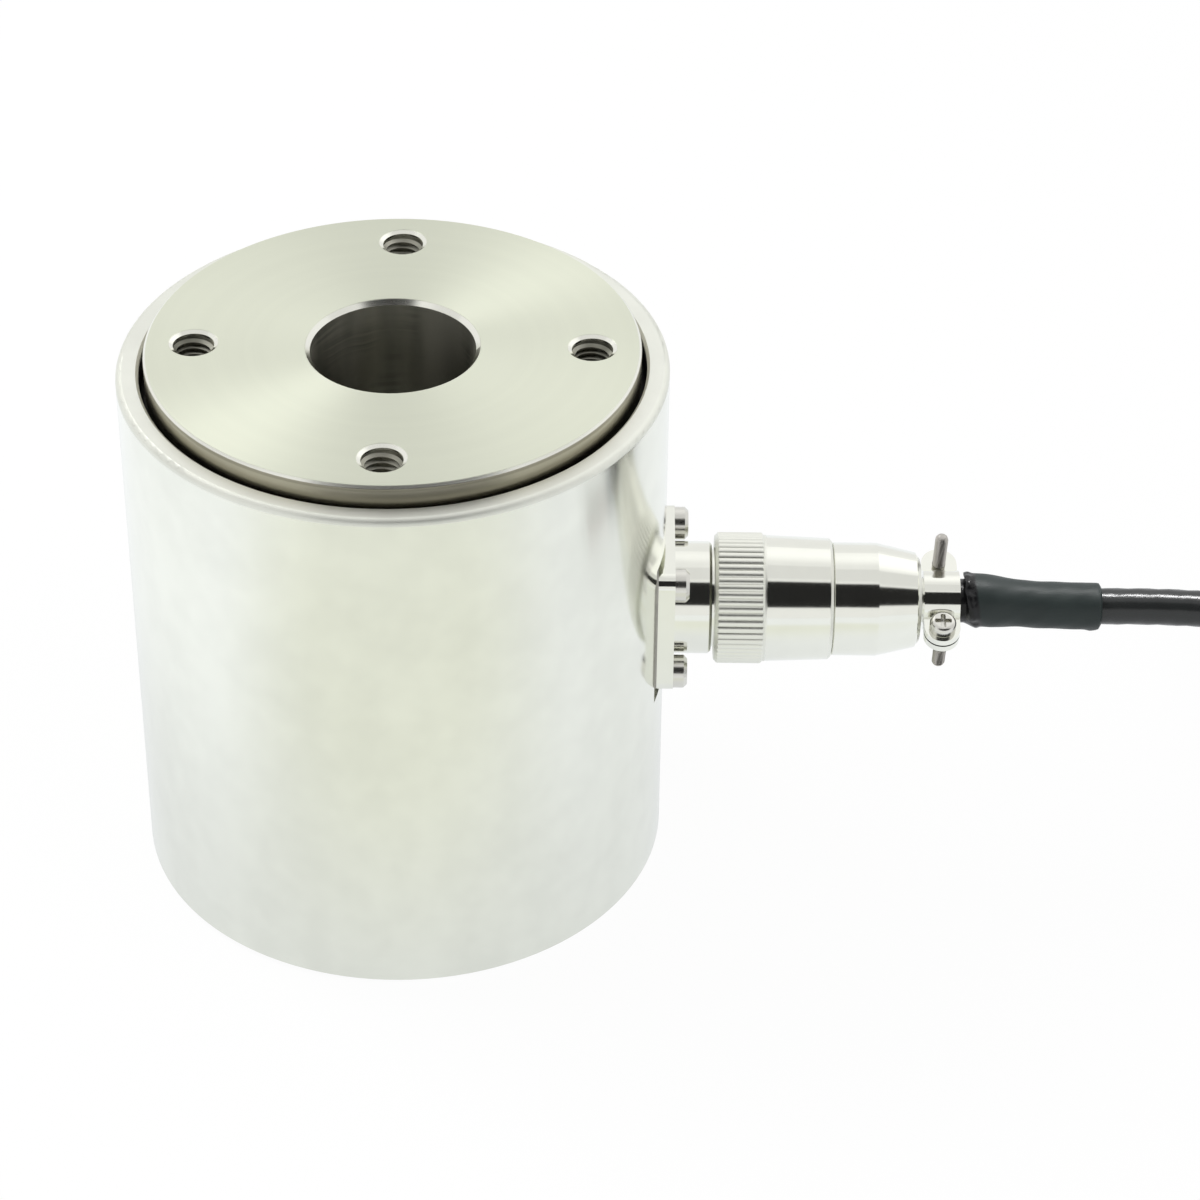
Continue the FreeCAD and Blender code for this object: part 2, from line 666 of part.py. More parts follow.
def plug_sockets():
    """Socket contacts round the pins, with solder cups at the rear."""
    outer_r = SOCKET_DIAMETER / 2
    bore_end = pin_tip + SOLDER_GAP
    socket = turned_level([
        (skirt_front, PIN_DIAMETER / 2 + SOCKET_FIT), (skirt_front, outer_r), (plug_cup_back, outer_r),
        (plug_cup_back, CUP_BORE / 2), (plug_insert_back, CUP_BORE / 2), (plug_insert_back, 0), (bore_end, 0),
        (bore_end, PIN_DIAMETER / 2 + SOCKET_FIT)])
    return spread_level(socket, contact_places())


def back_shell():
    """Plug's rear shell: spigot inside the nut, straight part, taper with a blunter end, beaded tail."""
    shell_r = SHELL_DIAMETER / 2
    taper_r = SHELL_TAPER_DIAMETER / 2
    end_r = SHELL_END_DIAMETER / 2
    spigot_r = nut_bore_r - COLLAR_CLEARANCE
    bead_x = tail_back - 2 * TAIL_BEAD
    body = turned_level([
        (shell_front, 0), (shell_front, spigot_r), (shoulder_x, spigot_r),
        (shoulder_x, shell_r - SHOULDER_CHAMFER), (shoulder_x + SHOULDER_CHAMFER, shell_r),
        (taper_x, shell_r), (round_x, taper_r), (shell_back - EDGE_CHAMFER, end_r),
        (shell_back, end_r - EDGE_CHAMFER), (shell_back, tail_r), (bead_x, tail_r),
        (bead_x + TAIL_BEAD, tail_r + TAIL_BEAD), (tail_back, tail_r), (tail_back, 0)])
    thread_bore_r = neck_r + SHELL_FIT
    cavity = turned_level([
        (shell_front, 0), (shell_front, thread_bore_r), (taper_x, thread_bore_r),
        (shell_back - SHELL_WALL, taper_r - SHELL_WALL), (shell_back - SHELL_WALL, tail_bore_r),
        (tail_back, tail_bore_r), (tail_back, 0)])
    return at_connector(body.cut(cavity))


def cable_cores():
    """Cores of the lead from its jacket to the plug's solder cups."""
    core_r = CORE_DIAMETER / 2
    start = plug_cup_back + SOLDER_GAP
    end = shell_back - SHELL_WALL - CABLE_ENTRY
    cores = []
    for y, z in contact_places():
        squeeze = CORE_CIRCLE / CONTACT_CIRCLE
        top = V(start, y, z)
        foot = V(end - SOLDER_GAP, y * squeeze, z * squeeze)
        cores.append(at_connector(Part.makeCylinder(core_r, (foot - top).Length, top, foot - top)))
    return Part.Compound(cores)


def clamp_half(turn):
    """Half-round strap with a round-ended lug each side, one drilled and one tapped."""
    middle = (clamp_front + clamp_back) / 2
    lug_r = CLAMP_WIDTH / 2
    reach = CLAMP_SCREW_SPACING / 2
    low = CLAMP_GAP / 2
    strap = rod_level(clamp_front, clamp_back, clamp_r, 0, 0)
    plate = Part.makeBox(CLAMP_WIDTH, 2 * reach, CLAMP_STRAP, V(clamp_front, -reach, low))
    ends = [Part.makeCylinder(lug_r, CLAMP_STRAP, V(middle, side * reach, low)) for side in (-1, 1)]
    upper = Part.makeBox(CLAMP_WIDTH, 2 * clamp_r, clamp_r, V(clamp_front, -clamp_r, low))
    half = strap.common(upper).fuse([plate] + ends).removeSplitter()
    bore = turned_level([
        (clamp_front, 0), (clamp_front, clamp_bore_r), (tail_back - 2 * TAIL_BEAD - CLAMP_FIT, clamp_bore_r),
        (tail_back - TAIL_BEAD, clamp_bore_r + TAIL_BEAD), (tail_back + CLAMP_FIT, clamp_bore_r),
        (clamp_back, clamp_bore_r), (clamp_back, 0)])
    drilled = CLAMP_SCREW_DIAMETER / 2 + SCREW_CLEARANCE
    tapped = CLAMP_SCREW_DIAMETER / 2 + SCREW_FIT
    holes = [
        Part.makeCylinder(drilled, CLAMP_STRAP, V(middle, -reach, low)),
        Part.makeCylinder(tapped, CLAMP_STRAP, V(middle, reach, low))]
    head_seat_r = CLAMP_HEAD_DIAMETER / 2 + SCREW_CLEARANCE
    head_seat = Part.makeCylinder(head_seat_r, clamp_r, V(middle, -reach, lug_top))
    half = half.cut([bore, head_seat] + holes)
    half.rotate(ORIGIN, X_AXIS, CLAMP_TURN + turn)
    return at_connector(half)


def clamp_screws():
    """Two screws that draw the clamp halves together, one from each side."""
    middle = (clamp_front + clamp_back) / 2
    screws = []
    for turn in (0, 180):
        screw = cross_recessed_screw(
            CLAMP_SCREW_DIAMETER, CLAMP_SCREW_LENGTH, CLAMP_SCREW_POINT,
            CLAMP_HEAD_DIAMETER, CLAMP_HEAD_HEIGHT)
        screw.translate(V(middle, -CLAMP_SCREW_SPACING / 2, lug_top))
        screw.rotate(ORIGIN, X_AXIS, CLAMP_TURN + turn)
        screws.append(at_connector(screw))
    return Part.Compound(screws)


def heat_shrink_sleeve():
    """Shrunk sleeve on the lead: squeezed under the clamp, thick behind it, thinner towards its end."""
    start = flat_x + tail_back + SOLDER_GAP
    bulge = flat_x + clamp_back + SHRINK_CLEARANCE
    route, _ = route_wire(CABLE_ROUTE)
    stations = [
        (start, tail_r), (bulge, tail_r), (bulge + SHRINK_CLEARANCE, SHRINK_ROOT_DIAMETER / 2),
        (bulge + SHRINK_ROOT_LENGTH, SHRINK_ROOT_DIAMETER / 2),
        (bulge + SHRINK_ROOT_LENGTH + SHRINK_TAPER_LENGTH, SHRINK_DIAMETER / 2),
        (start + SHRINK_LENGTH, SHRINK_DIAMETER / 2)]
    sections = []
    for x, radius in stations:
        centre, heading = route_point(route, x)
        section = Part.Wire(Part.makeCircle(radius, ORIGIN, X_AXIS))
        section.Placement = FreeCAD.Placement(centre, FreeCAD.Rotation(X_AXIS, heading))
        sections.append(section)
    sleeve = Part.makeLoft(sections, True, True)
    return sleeve.cut(tube_along(CABLE_ROUTE, cable_r + CABLE_FIT, ""))


def route_point(route, x):
    """Point and heading where a route crosses the plane at x."""
    for edge in route.Edges:
        first = edge.valueAt(edge.FirstParameter)
        last = edge.valueAt(edge.LastParameter)
        if first.x <= x <= last.x:
            share = (x - first.x) / (last.x - first.x)
            parameter = edge.FirstParameter + share * (edge.LastParameter - edge.FirstParameter)
            return edge.valueAt(parameter), edge.tangentAt(parameter)
    raise ValueError("the route does not reach x = %g" % x)


def cable_run():
    """Lead from inside the back shell to the coil."""
    return tube_along(CABLE_ROUTE, cable_r, "cable_run")


def cable_coil():
    """Outer form of the tied coil: a ring of turns lying beside and on each other."""
    low_r = coil_r - coil_half_width
    high_r = coil_r + coil_half_width
    ring = turned_upright([(low_r, 0), (high_r, 0), (high_r, coil_height), (low_r, coil_height)])
    edges = [edge for edge in ring.Edges if isinstance(edge.Curve, Part.Circle) and edge.isClosed()]
    corners = [edge for edge in edges if abs(edge.Curve.Axis.z) > 0.5]
    ring = ring.makeFillet(cable_r, corners)
    ring.translate(coil_centre)
    return ring


def cable_tail():
    """End of the lead, from the coil to where the jacket is stripped."""
    return tube_along(TAIL_ROUTE, cable_r, "cable_tail")


def coil_tie():
    """Flat strap round the coil's section."""
    outer = Part.makeBox(
        2 * coil_half_width + 2 * TIE_THICKNESS, TIE_WIDTH, coil_height + TIE_THICKNESS,
        V(coil_r - coil_half_width - TIE_THICKNESS, -TIE_WIDTH / 2, 0))
    lengthwise = [edge for edge in outer.Edges if abs(edge.tangentAt(edge.FirstParameter).y) > 0.5]
    outer = outer.makeFillet(cable_r, lengthwise)
    inner = Part.makeBox(
        2 * coil_half_width, TIE_WIDTH, coil_height - TIE_THICKNESS,
        V(coil_r - coil_half_width, -TIE_WIDTH / 2, TIE_THICKNESS))
    lengthwise = [edge for edge in inner.Edges if abs(edge.tangentAt(edge.FirstParameter).y) > 0.5]
    inner = inner.makeFillet(cable_r - TIE_THICKNESS, lengthwise)
    band = outer.cut(inner)
    band.rotate(ORIGIN, Z_AXIS, TIE_AZIMUTH)
    band.translate(coil_centre)
    return band


def lead_ends():
    """Stripped cores that fan out from the jacket and come down to the floor."""
    wire_r = LEAD_END_DIAMETER / 2
    start = TAIL_ROUTE[-1]
    heading = (TAIL_ROUTE[-1] - TAIL_ROUTE[-2]).normalize()
    across = V(-heading.y, heading.x, 0)
    ends = []
    for index in range(CONTACT_COUNT):
        side = index - (CONTACT_COUNT - 1) / 2
        root = start + across * side * LEAD_END_DIAMETER + heading * SOLDER_GAP
        opening = across * side * LEAD_END_SPREAD
        middle = root + heading * LEAD_END_LENGTH * LEAD_END_BEND + opening * LEAD_END_OPENING
        tip = start + heading * LEAD_END_LENGTH + opening
        middle.z = (start.z + wire_r) / 2
        tip.z = wire_r
        ends.append(tube_along([root, middle, tip], wire_r, ""))
    return Part.Compound(ends)


PARTS = {
    "elastic_element": elastic_element,
    "outer_sleeve": outer_sleeve,
    "rim_seal_ring": rim_seal_ring,
    "axial_strain_gauges": axial_strain_gauges,
    "transverse_strain_gauges": transverse_strain_gauges,
    "gauge_leads": gauge_leads,
    "terminal_board": terminal_board,
    "trim_resistors": trim_resistors,
    "signal_wires": signal_wires,
    "flange_gasket": flange_gasket,
    "receptacle_shell": receptacle_shell,
    "receptacle_insert": receptacle_insert,
    "receptacle_pins": receptacle_pins,
    "insert_lock_ring": insert_lock_ring,
    "flange_screws": flange_screws,
    "coupling_nut": coupling_nut,
    "plug_body": plug_body,
    "plug_insert": plug_insert,
    "plug_sockets": plug_sockets,
    "back_shell": back_shell,
    "cable_cores": cable_cores,
    "clamp_half_upper": lambda: clamp_half(0),
    "clamp_half_lower": lambda: clamp_half(180),
    "clamp_screws": clamp_screws,
    "heat_shrink_sleeve": heat_shrink_sleeve,
    "cable_run": cable_run,
    "cable_coil": cable_coil,
    "cable_tail": cable_tail,
    "coil_tie": coil_tie,
    "lead_ends": lead_ends,
}

os.makedirs("parts", exist_ok=True)
for node, make in PARTS.items():
    make().exportStep("parts/%s.step" % node)
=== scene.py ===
"""Dress a ring load cell and its screwed-on lead, and set them in a plain white studio."""
import json
import math

import bpy
import numpy as np
from bpy.props import FloatProperty, FloatVectorProperty, IntProperty, PointerProperty
from mathutils import Matrix, Vector


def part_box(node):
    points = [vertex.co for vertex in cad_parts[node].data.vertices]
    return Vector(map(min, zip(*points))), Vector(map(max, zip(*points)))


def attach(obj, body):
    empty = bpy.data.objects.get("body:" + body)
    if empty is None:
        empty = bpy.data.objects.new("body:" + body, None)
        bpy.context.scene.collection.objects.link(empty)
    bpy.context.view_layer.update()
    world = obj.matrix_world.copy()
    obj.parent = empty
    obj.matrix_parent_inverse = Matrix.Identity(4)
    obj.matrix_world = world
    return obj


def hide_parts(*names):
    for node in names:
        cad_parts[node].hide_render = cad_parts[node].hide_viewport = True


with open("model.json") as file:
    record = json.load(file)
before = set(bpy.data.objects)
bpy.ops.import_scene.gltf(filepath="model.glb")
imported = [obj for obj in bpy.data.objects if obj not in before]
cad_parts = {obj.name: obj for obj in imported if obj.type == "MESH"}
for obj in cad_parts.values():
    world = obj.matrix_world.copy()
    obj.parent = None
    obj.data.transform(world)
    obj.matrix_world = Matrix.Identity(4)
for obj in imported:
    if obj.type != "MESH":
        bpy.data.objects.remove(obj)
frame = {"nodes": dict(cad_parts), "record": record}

bl_info = {
    "name": "Ring load cell",
    "version": (1, 0, 0),
    "blender": (4, 5, 0),
    "location": "View3D > Sidebar > Load Cell",
    "description": "Threads, screws, lead and finishes of a ring load cell, with its studio",
    "category": "Object",
}

TURN = 2.0 * math.pi
WHITE = (1.0, 1.0, 1.0, 1.0)

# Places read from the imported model
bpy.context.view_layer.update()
MOUNTS = {mount["name"]: mount for mount in frame["record"]["mounts"]}
FACE_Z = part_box("elastic_element")[1].z
RIM_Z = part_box("outer_sleeve")[1].z
CONNECTOR_Z = 0.5 * (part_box("coupling_nut")[0].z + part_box("coupling_nut")[1].z)
NUT_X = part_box("coupling_nut")[0].x
NUT_BACK_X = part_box("coupling_nut")[1].x
MOUTH_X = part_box("receptacle_shell")[1].x
CLAMP_FRONT_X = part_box("clamp_half_upper")[0].x
CLAMP_BACK_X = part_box("clamp_half_upper")[1].x
CLAMP_X = 0.5 * (CLAMP_FRONT_X + CLAMP_BACK_X)

# Route of the lead, as the control points of its spline, in metres
PLUG_ROUTE = (
    (0.0756, 0.0, 0.0430),
    (0.0885, 0.0, 0.0430),
    (0.0995, 0.0, 0.0421),
    (0.1180, -0.0002, 0.0425),
    (0.1350, -0.0018, 0.0420),
    (0.1510, -0.0060, 0.0346),
    (0.1655, -0.0110, 0.0264),
    (0.1785, -0.0138, 0.0212),
)
TAIL_ROUTE = (
    (0.1412, 0.0300, 0.0028),
    (0.1406, 0.0140, 0.0028),
    (0.1392, -0.0030, 0.0028),
)
COIL_CENTRE = (0.182, 0.026)
COIL_STEPS = 16
SLEEVE_PATH_END_X = 0.115

# Details of the threads, screws, lead and sleeve, in metres
TAP_START = 0.0009
COUPLING_RIDGE = 0.00053
COUPLING_RUNOUT = 0.0008
HEAD_RADIUS = 0.0020
HEAD_HEIGHT = 0.0016
SHANK_RADIUS = 0.0010
SHANK_LENGTH = 0.009
SHANK_PITCH = 0.0004
CORE_COUNT = 4
CORE_RADIUS = 0.0006
LAY_LENGTH = 0.0176
LAY_DEPTH = 0.00005
CUT_LEAN = 0.0009
CREASE = math.radians(40.0)


class CellSizes(bpy.types.PropertyGroup):
    """Sizes of the threads and screws."""

    tap_pitch: FloatProperty(
        name="Tapped hole pitch", description="Rise of a tapped hole's thread in one turn",
        default=0.001, unit="LENGTH", precision=5)
    tap_ridge: FloatProperty(
        name="Tapped hole ridge", description="Height of a tapped hole's thread from its wall inwards",
        default=0.0005, unit="LENGTH", precision=5)
    tap_length: FloatProperty(
        name="Tapped length", description="Depth to which a tapped hole is threaded",
        default=0.0088, unit="LENGTH", precision=5)
    coupling_pitch: FloatProperty(
        name="Coupling pitch", description="Rise of the receptacle's thread in one turn",
        default=0.001, unit="LENGTH", precision=5)
    coupling_root: FloatProperty(
        name="Coupling thread root", description="Radius at the foot of the receptacle's thread",
        default=0.00745, unit="LENGTH", precision=5)
    coupling_length: FloatProperty(
        name="Coupling thread length", description="Threaded length of the receptacle from its mouth",
        default=0.0072, unit="LENGTH", precision=5)
    knurl_length: FloatProperty(
        name="Knurl length", description="Length of the ribbed grip at the front of the coupling nut",
        default=0.0075, unit="LENGTH", precision=5)
    clamp_turn: FloatProperty(
        name="Clamp turn", description="Turn of the clamp's parting plane about the lead",
        default=math.radians(15.5), subtype="ANGLE")
    clamp_spacing: FloatProperty(
        name="Clamp screw spacing", description="Distance between the clamp's two screws",
        default=0.0122, unit="LENGTH", precision=5)
    clamp_seat: FloatProperty(
        name="Clamp screw seat", description="Height of a screw head's underside above the parting plane",
        default=0.00125, unit="LENGTH", precision=5)


class LeadSizes(bpy.types.PropertyGroup):
    """Sizes of the lead, its coil and its sleeve."""

    diameter: FloatProperty(
        name="Lead diameter", description="Diameter over the jacket",
        default=0.0056, unit="LENGTH", precision=5)
    length: FloatProperty(
        name="Lead length", description="Length of the lead from the plug to its stripped end",
        default=2.9, unit="LENGTH")
    coil_radius: FloatProperty(
        name="Coil radius", description="Radius of the coil's outermost turn, at the middle of the lead",
        default=0.0404, unit="LENGTH", precision=5)
    coil_layers: IntProperty(
        name="Coil layers", description="Layers of turns lying on each other", default=4)
    layer_turns: FloatProperty(
        name="Turns in a layer", description="Turns of the flat spiral in each layer", default=3.25)
    step_turns: FloatProperty(
        name="Turns between layers", description="Part of a turn in which the lead steps down a layer",
        default=0.2427)
    tie_azimuth: FloatProperty(
        name="Tie azimuth", description="Direction of the tie, seen from the coil's centre",
        default=math.radians(-50.0), subtype="ANGLE")
    tie_width: FloatProperty(
        name="Tie width", description="Width of the strap round the coil",
        default=0.008, unit="LENGTH", precision=5)
    core_length: FloatProperty(
        name="Core length", description="Length of the stripped cores",
        default=0.034, unit="LENGTH", precision=5)
    core_spread: FloatProperty(
        name="Core spread", description="Distance between the tips of neighbouring cores",
        default=0.0032, unit="LENGTH", precision=5)


class FinishColours(bpy.types.PropertyGroup):
    """Colours of the finishes."""

    turned: FloatVectorProperty(
        name="Turned steel", description="Colour of the turned load face and bore",
        default=(0.752, 0.775, 0.646), subtype="COLOR", min=0.0, max=1.0)
    sleeve: FloatVectorProperty(
        name="Sleeve steel", description="Colour of the satin sleeve",
        default=(0.83, 0.84, 0.77), subtype="COLOR", min=0.0, max=1.0)
    nickel: FloatVectorProperty(
        name="Nickel plate", description="Colour of the connector's bright plate",
        default=(0.86, 0.865, 0.795), subtype="COLOR", min=0.0, max=1.0)
    jacket: FloatVectorProperty(
        name="Lead jacket", description="Colour of the lead's jacket",
        default=(0.020, 0.022, 0.022), subtype="COLOR", min=0.0, max=1.0)
    shrink: FloatVectorProperty(
        name="Shrunk sleeve", description="Colour of the shrunk sleeve behind the clamp",
        default=(0.022, 0.031, 0.030), subtype="COLOR", min=0.0, max=1.0)


class Value:
    """A socket in an expression: arithmetic on it adds Math nodes to its tree."""

    def __init__(self, nodes, socket):
        self.nodes = nodes
        self.socket = socket

    def __add__(self, other):
        return self.nodes.math("ADD", self, other)

    def __radd__(self, other):
        return self.nodes.math("ADD", other, self)

    def __sub__(self, other):
        return self.nodes.math("SUBTRACT", self, other)

    def __rsub__(self, other):
        return self.nodes.math("SUBTRACT", other, self)

    def __mul__(self, other):
        return self.nodes.math("MULTIPLY", self, other)

    def __rmul__(self, other):
        return self.nodes.math("MULTIPLY", other, self)

    def __truediv__(self, other):
        return self.nodes.math("DIVIDE", self, other)

    def __rtruediv__(self, other):
        return self.nodes.math("DIVIDE", other, self)

    def __pow__(self, other):
        return self.nodes.math("POWER", self, other)


class Nodes:
    """Adds nodes to one tree and links them."""

    def __init__(self, tree):
        self.tree = tree

    def add(self, kind, settings=None, inputs=None, output=0):
        """Add a node, set its settings, then feed its sockets; return one of its outputs."""
        node = self.tree.nodes.new(kind)
        for name, setting in (settings or {}).items():
            setattr(node, name, setting)
        for name, value in (inputs or {}).items():
            self.feed(node.inputs[name], value)
        return Value(self, node.outputs[output])

    def feed(self, socket, value):
        """Link a value to a socket, or set the socket to a plain number, colour or vector."""
        if isinstance(value, Value):
            self.tree.links.new(value.socket, socket)
        else:
            socket.default_value = value

    def math(self, operation, *operands):
        """Result of a Math node."""
        return self.add("ShaderNodeMath", {"operation": operation}, dict(enumerate(operands)))

    def mix(self, share, low, high):
        """Colour between low and high."""
        settings = {"data_type": "RGBA", "clamp_factor": True}
        return self.add("ShaderNodeMix", settings, {0: share, 6: low, 7: high}, output=2)

    def ramp(self, value, low, high):
        """Smooth step from 0 at low to 1 at high."""
        settings = {"interpolation_type": "SMOOTHSTEP"}
        return self.add("ShaderNodeMapRange", settings, {0: value, 1: low, 2: high})

    def band(self, value, start, end, fade):
        """1 from start to end, which dies away over the given margin on both sides."""
        return self.ramp(value, start - fade, start) * self.ramp(value, end + fade, end)


class Finish(Nodes):
    """A material in the making: its Principled shader and the patterns that feed it."""

    def __init__(self, name):
        self.material = bpy.data.materials.new(name)
        self.material.use_nodes = True
        super().__init__(self.material.node_tree)
        self.shader = self.tree.nodes["Principled BSDF"]
        self.point = self.add("ShaderNodeTexCoord", output="Object")

    def axes(self):
        """The point's three coordinates."""
        return [self.add("ShaderNodeSeparateXYZ", None, {0: self.point}, output=axis) for axis in "XYZ"]

    def cloud(self, size, detail=3.0, point=None):
        """Noise from 0 to 1 with lumps of about the given size in metres."""
        inputs = {"Vector": point or self.point, "Scale": 1.0 / size, "Detail": detail}
        return self.add("ShaderNodeTexNoise", None, inputs)

    def lines(self, place, size, detail=2.0):
        """Noise from 0 to 1 that changes along one direction only, as tool marks do."""
        inputs = {"W": place, "Scale": 1.0 / size, "Detail": detail}
        return self.add("ShaderNodeTexNoise", {"noise_dimensions": "1D"}, inputs)

    def stretched(self, scale):
        """The point with each axis scaled, to draw a pattern out along the others."""
        return self.add("ShaderNodeVectorMath", {"operation": "MULTIPLY"}, {0: self.point, 1: scale})

    def bump(self, height, strength, distance):
        """Normal of a surface whose height is the given value times the distance in metres."""
        inputs = {"Strength": strength, "Distance": distance, "Height": height}
        return self.add("ShaderNodeBump", None, inputs)

    def close(self, **sockets):
        """Feed the shader's sockets, named with underscores for spaces, and return the material."""
        for name, value in sockets.items():
            self.feed(self.shader.inputs[name.replace("_", " ")], value)
        return self.material


def tint(colour, factor=1.0):
    """A colour property, brightened or dimmed, as red, green, blue and alpha."""
    return tuple(min(1.0, part * factor) for part in colour) + (1.0,)


def turned_steel(colour):
    """Fine-turned steel: rings of tool marks about the bore on faces, and round the walls on walls.

    The two end faces are bright, and the smoother chamfers at their edges carry a painted highlight, a
    brighter colour than the faces'.  The flange's wall is smoother and browner, with a dark tool line under
    its edge, and painted shade darkens it towards the gap.  The bore and the tapped holes are painted
    darker still, as shade in the recess, and streaked and torn by the tool.
    """
    hole_chamfer, edge_chamfer, blur = 0.0007, 0.00036, 0.00004
    # Chamfer colours are a painted highlight, brighter than the faces
    chamfer_highlight_dull, chamfer_highlight_bright = (0.83, 0.83, 0.75, 1.0), (0.90, 0.90, 0.83, 1.0)
    # Bore colours are painted darker than the faces, as shade in the bore and tapped holes; the torn colour
    # also draws the tool's tears
    clean_bore_in_shade, torn_bore_in_shade = (0.53, 0.52, 0.445, 1.0), (0.19, 0.19, 0.155, 1.0)
    wall_dull, wall_bright = (0.42, 0.395, 0.31, 1.0), (0.63, 0.595, 0.49, 1.0)
    # Colour of the painted shade towards the gap, also used for the dark tool line
    tool_line_and_shade_colour = (0.16, 0.15, 0.115, 1.0)
    finish = Finish("turned_steel_finish")
    x, y, z = finish.axes()
    radius = (x * x + y * y) ** 0.5
    outer = finish.ramp(radius, 0.0325, 0.0335)
    depth = 0.5 * FACE_Z - finish.math("ABSOLUTE", z - 0.5 * FACE_Z)
    edge = finish.ramp(depth, 0.00003, 0.00010)
    sunk = depth + outer * (hole_chamfer - edge_chamfer)
    below = finish.ramp(sunk, hole_chamfer - blur, hole_chamfer + blur)
    broad = finish.lines(radius + z, 0.0022)
    fine = finish.lines(radius + z, 0.0003)
    stain = finish.cloud(0.012)
    tone = broad * 0.4 + fine * 0.2 + stain * 0.4
    faced = finish.mix(tone, tint(colour, 0.95), tint(colour, 1.05))
    # Painted highlight along the chamfers
    chamfer_highlight = finish.mix(stain, chamfer_highlight_dull, chamfer_highlight_bright)
    streak = finish.cloud(0.006, 2.0, finish.stretched((1.0, 1.0, 0.12)))
    chatter = finish.lines(z + stain * 0.004, 0.0011)
    torn = finish.ramp(stain, 0.45, 0.6) * finish.ramp(chatter, 0.4, 0.6)
    worn = finish.ramp(streak, 0.35, 0.65) * 0.6 + torn * 0.4
    # Painted shade in the bore, with real streaks and tears from the tool
    bore_marks_in_shade = finish.mix(worn, clean_bore_in_shade, torn_bore_in_shade)
    line = finish.ramp(depth, 0.00032, 0.00040) * finish.ramp(depth, 0.00095, 0.00075)
    # Painted shade: the wall darkens from 2.6 to 3.6 mm below the face, towards the gap; the tool line is a
    # real mark
    tool_line_and_painted_shade = line * 0.4 + finish.ramp(depth, 0.0026, 0.0036) * 0.5
    walled = finish.mix(tool_line_and_painted_shade, finish.mix(tone, wall_dull, wall_bright), tool_line_and_shade_colour)
    bright = finish.mix(edge, faced, chamfer_highlight)
    cut = finish.mix(outer, bore_marks_in_shade, walled)
    polish = edge * (1.0 - below) * (0.6 - outer * 0.25) + outer * below * 0.45
    return finish.close(
        Base_Color=finish.mix(below, bright, cut),
        Metallic=1.0,
        Roughness=(0.30 + fine * 0.06 + stain * 0.04) * (1.0 - polish),
        Anisotropic=0.88,
        Anisotropic_Rotation=0.25,
        Normal=finish.bump(fine * 0.7 + broad * 0.3, 0.08, 0.00001))


def sleeve_steel(colour):
    """Satin-polished steel: soft clouds, upright streaks left by polishing and a few dull specks.

    The rim keeps a duller, turned surface on its flat, and more so on its rounded edge.
    """
    speck_spacing = 0.026
    finish = Finish("sleeve_steel_finish")
    cloud = finish.cloud(0.018, 3.0)
    streak = finish.cloud(0.010, 2.0, finish.stretched((1.0, 1.0, 0.22)))
    blotch = finish.cloud(0.005, 4.0)
    dots = finish.add("ShaderNodeTexVoronoi", None, {"Vector": finish.point, "Scale": 1.0 / speck_spacing})
    speck = finish.ramp(dots, 0.030, 0.015)
    tone = finish.ramp(cloud * 0.4 + streak * 0.25 + blotch * 0.35, 0.32, 0.68) - speck * 0.4
    depth = RIM_Z - finish.axes()[2]
    rim = finish.ramp(depth, 0.0016, 0.0006)
    flat = finish.ramp(depth, 0.000015, 0.000004)
    brow = finish.ramp(depth, 0.0011, 0.0009) * (1.0 - flat)
    return finish.close(
        Base_Color=finish.mix(tone, tint(colour, 0.96), tint(colour, 1.04)),
        Metallic=1.0,
        Roughness=0.12 + cloud * 0.07 + rim * 0.06 + brow * 0.3 + flat * 0.17,
        Anisotropic=0.55,
        Anisotropic_Rotation=0.25)


def bright_plate(name, colour, roughness, dull_bands=()):
    """Bright plate with faint smears and a slight ripple, duller between each pair of places on X."""
    dulling, fade = 0.28, 0.0003
    finish = Finish(name)
    smear = finish.cloud(0.004, 4.0)
    grain = finish.cloud(0.0005, 2.0)
    gloss = roughness + smear * 0.05 + grain * 0.03
    for start, end in dull_bands:
        gloss = gloss + dulling * finish.band(finish.axes()[0], start, end, fade)
    return finish.close(
        Base_Color=finish.mix(smear, tint(colour, 0.95), tint(colour, 1.03)),
        Metallic=1.0,
        Roughness=gloss,
        Normal=finish.bump(grain, 0.05, 0.00001))


def soft_skin(name, colour, roughness, grain_size, grain_depth):
    """Rubber, plastic or cloth: mottled colour, uneven gloss and a fine grain."""
    finish = Finish(name)
    mottle = finish.cloud(grain_size * 12.0)
    grain = finish.cloud(grain_size, 3.0)
    return finish.close(
        Base_Color=finish.mix(mottle, tint(colour, 0.8), tint(colour, 1.25)),
        Roughness=roughness + mottle * 0.1 + grain * 0.06,
        Specular_IOR_Level=0.5,
        Normal=finish.bump(grain, 0.35, grain_depth))


def shrunk_sleeve(colour, rim_x):
    """Shrunk sleeve: slate grey, black and shiny where it was cut at a slant and melted at its rim."""
    rim_radius = 0.0042
    melted = (0.006, 0.006, 0.007, 1.0)
    finish = Finish("shrink_sleeve_finish")
    x, _, z = finish.axes()
    mottle = finish.cloud(0.005)
    grain = finish.cloud(0.0006, 3.0)
    slant = x + (z - CONNECTOR_Z) * (CUT_LEAN / rim_radius)
    burnt = finish.ramp(slant + mottle * 0.0008, rim_x + 0.0038, rim_x + 0.0033)
    skin = finish.mix(mottle, tint(colour, 0.8), tint(colour, 1.25))
    return finish.close(
        Base_Color=finish.mix(burnt, skin, melted),
        Roughness=0.42 + mottle * 0.1 - burnt * 0.18,
        Specular_IOR_Level=0.35,
        Normal=finish.bump(grain * (1.0 + burnt * 2.0), 0.3, 0.00008))


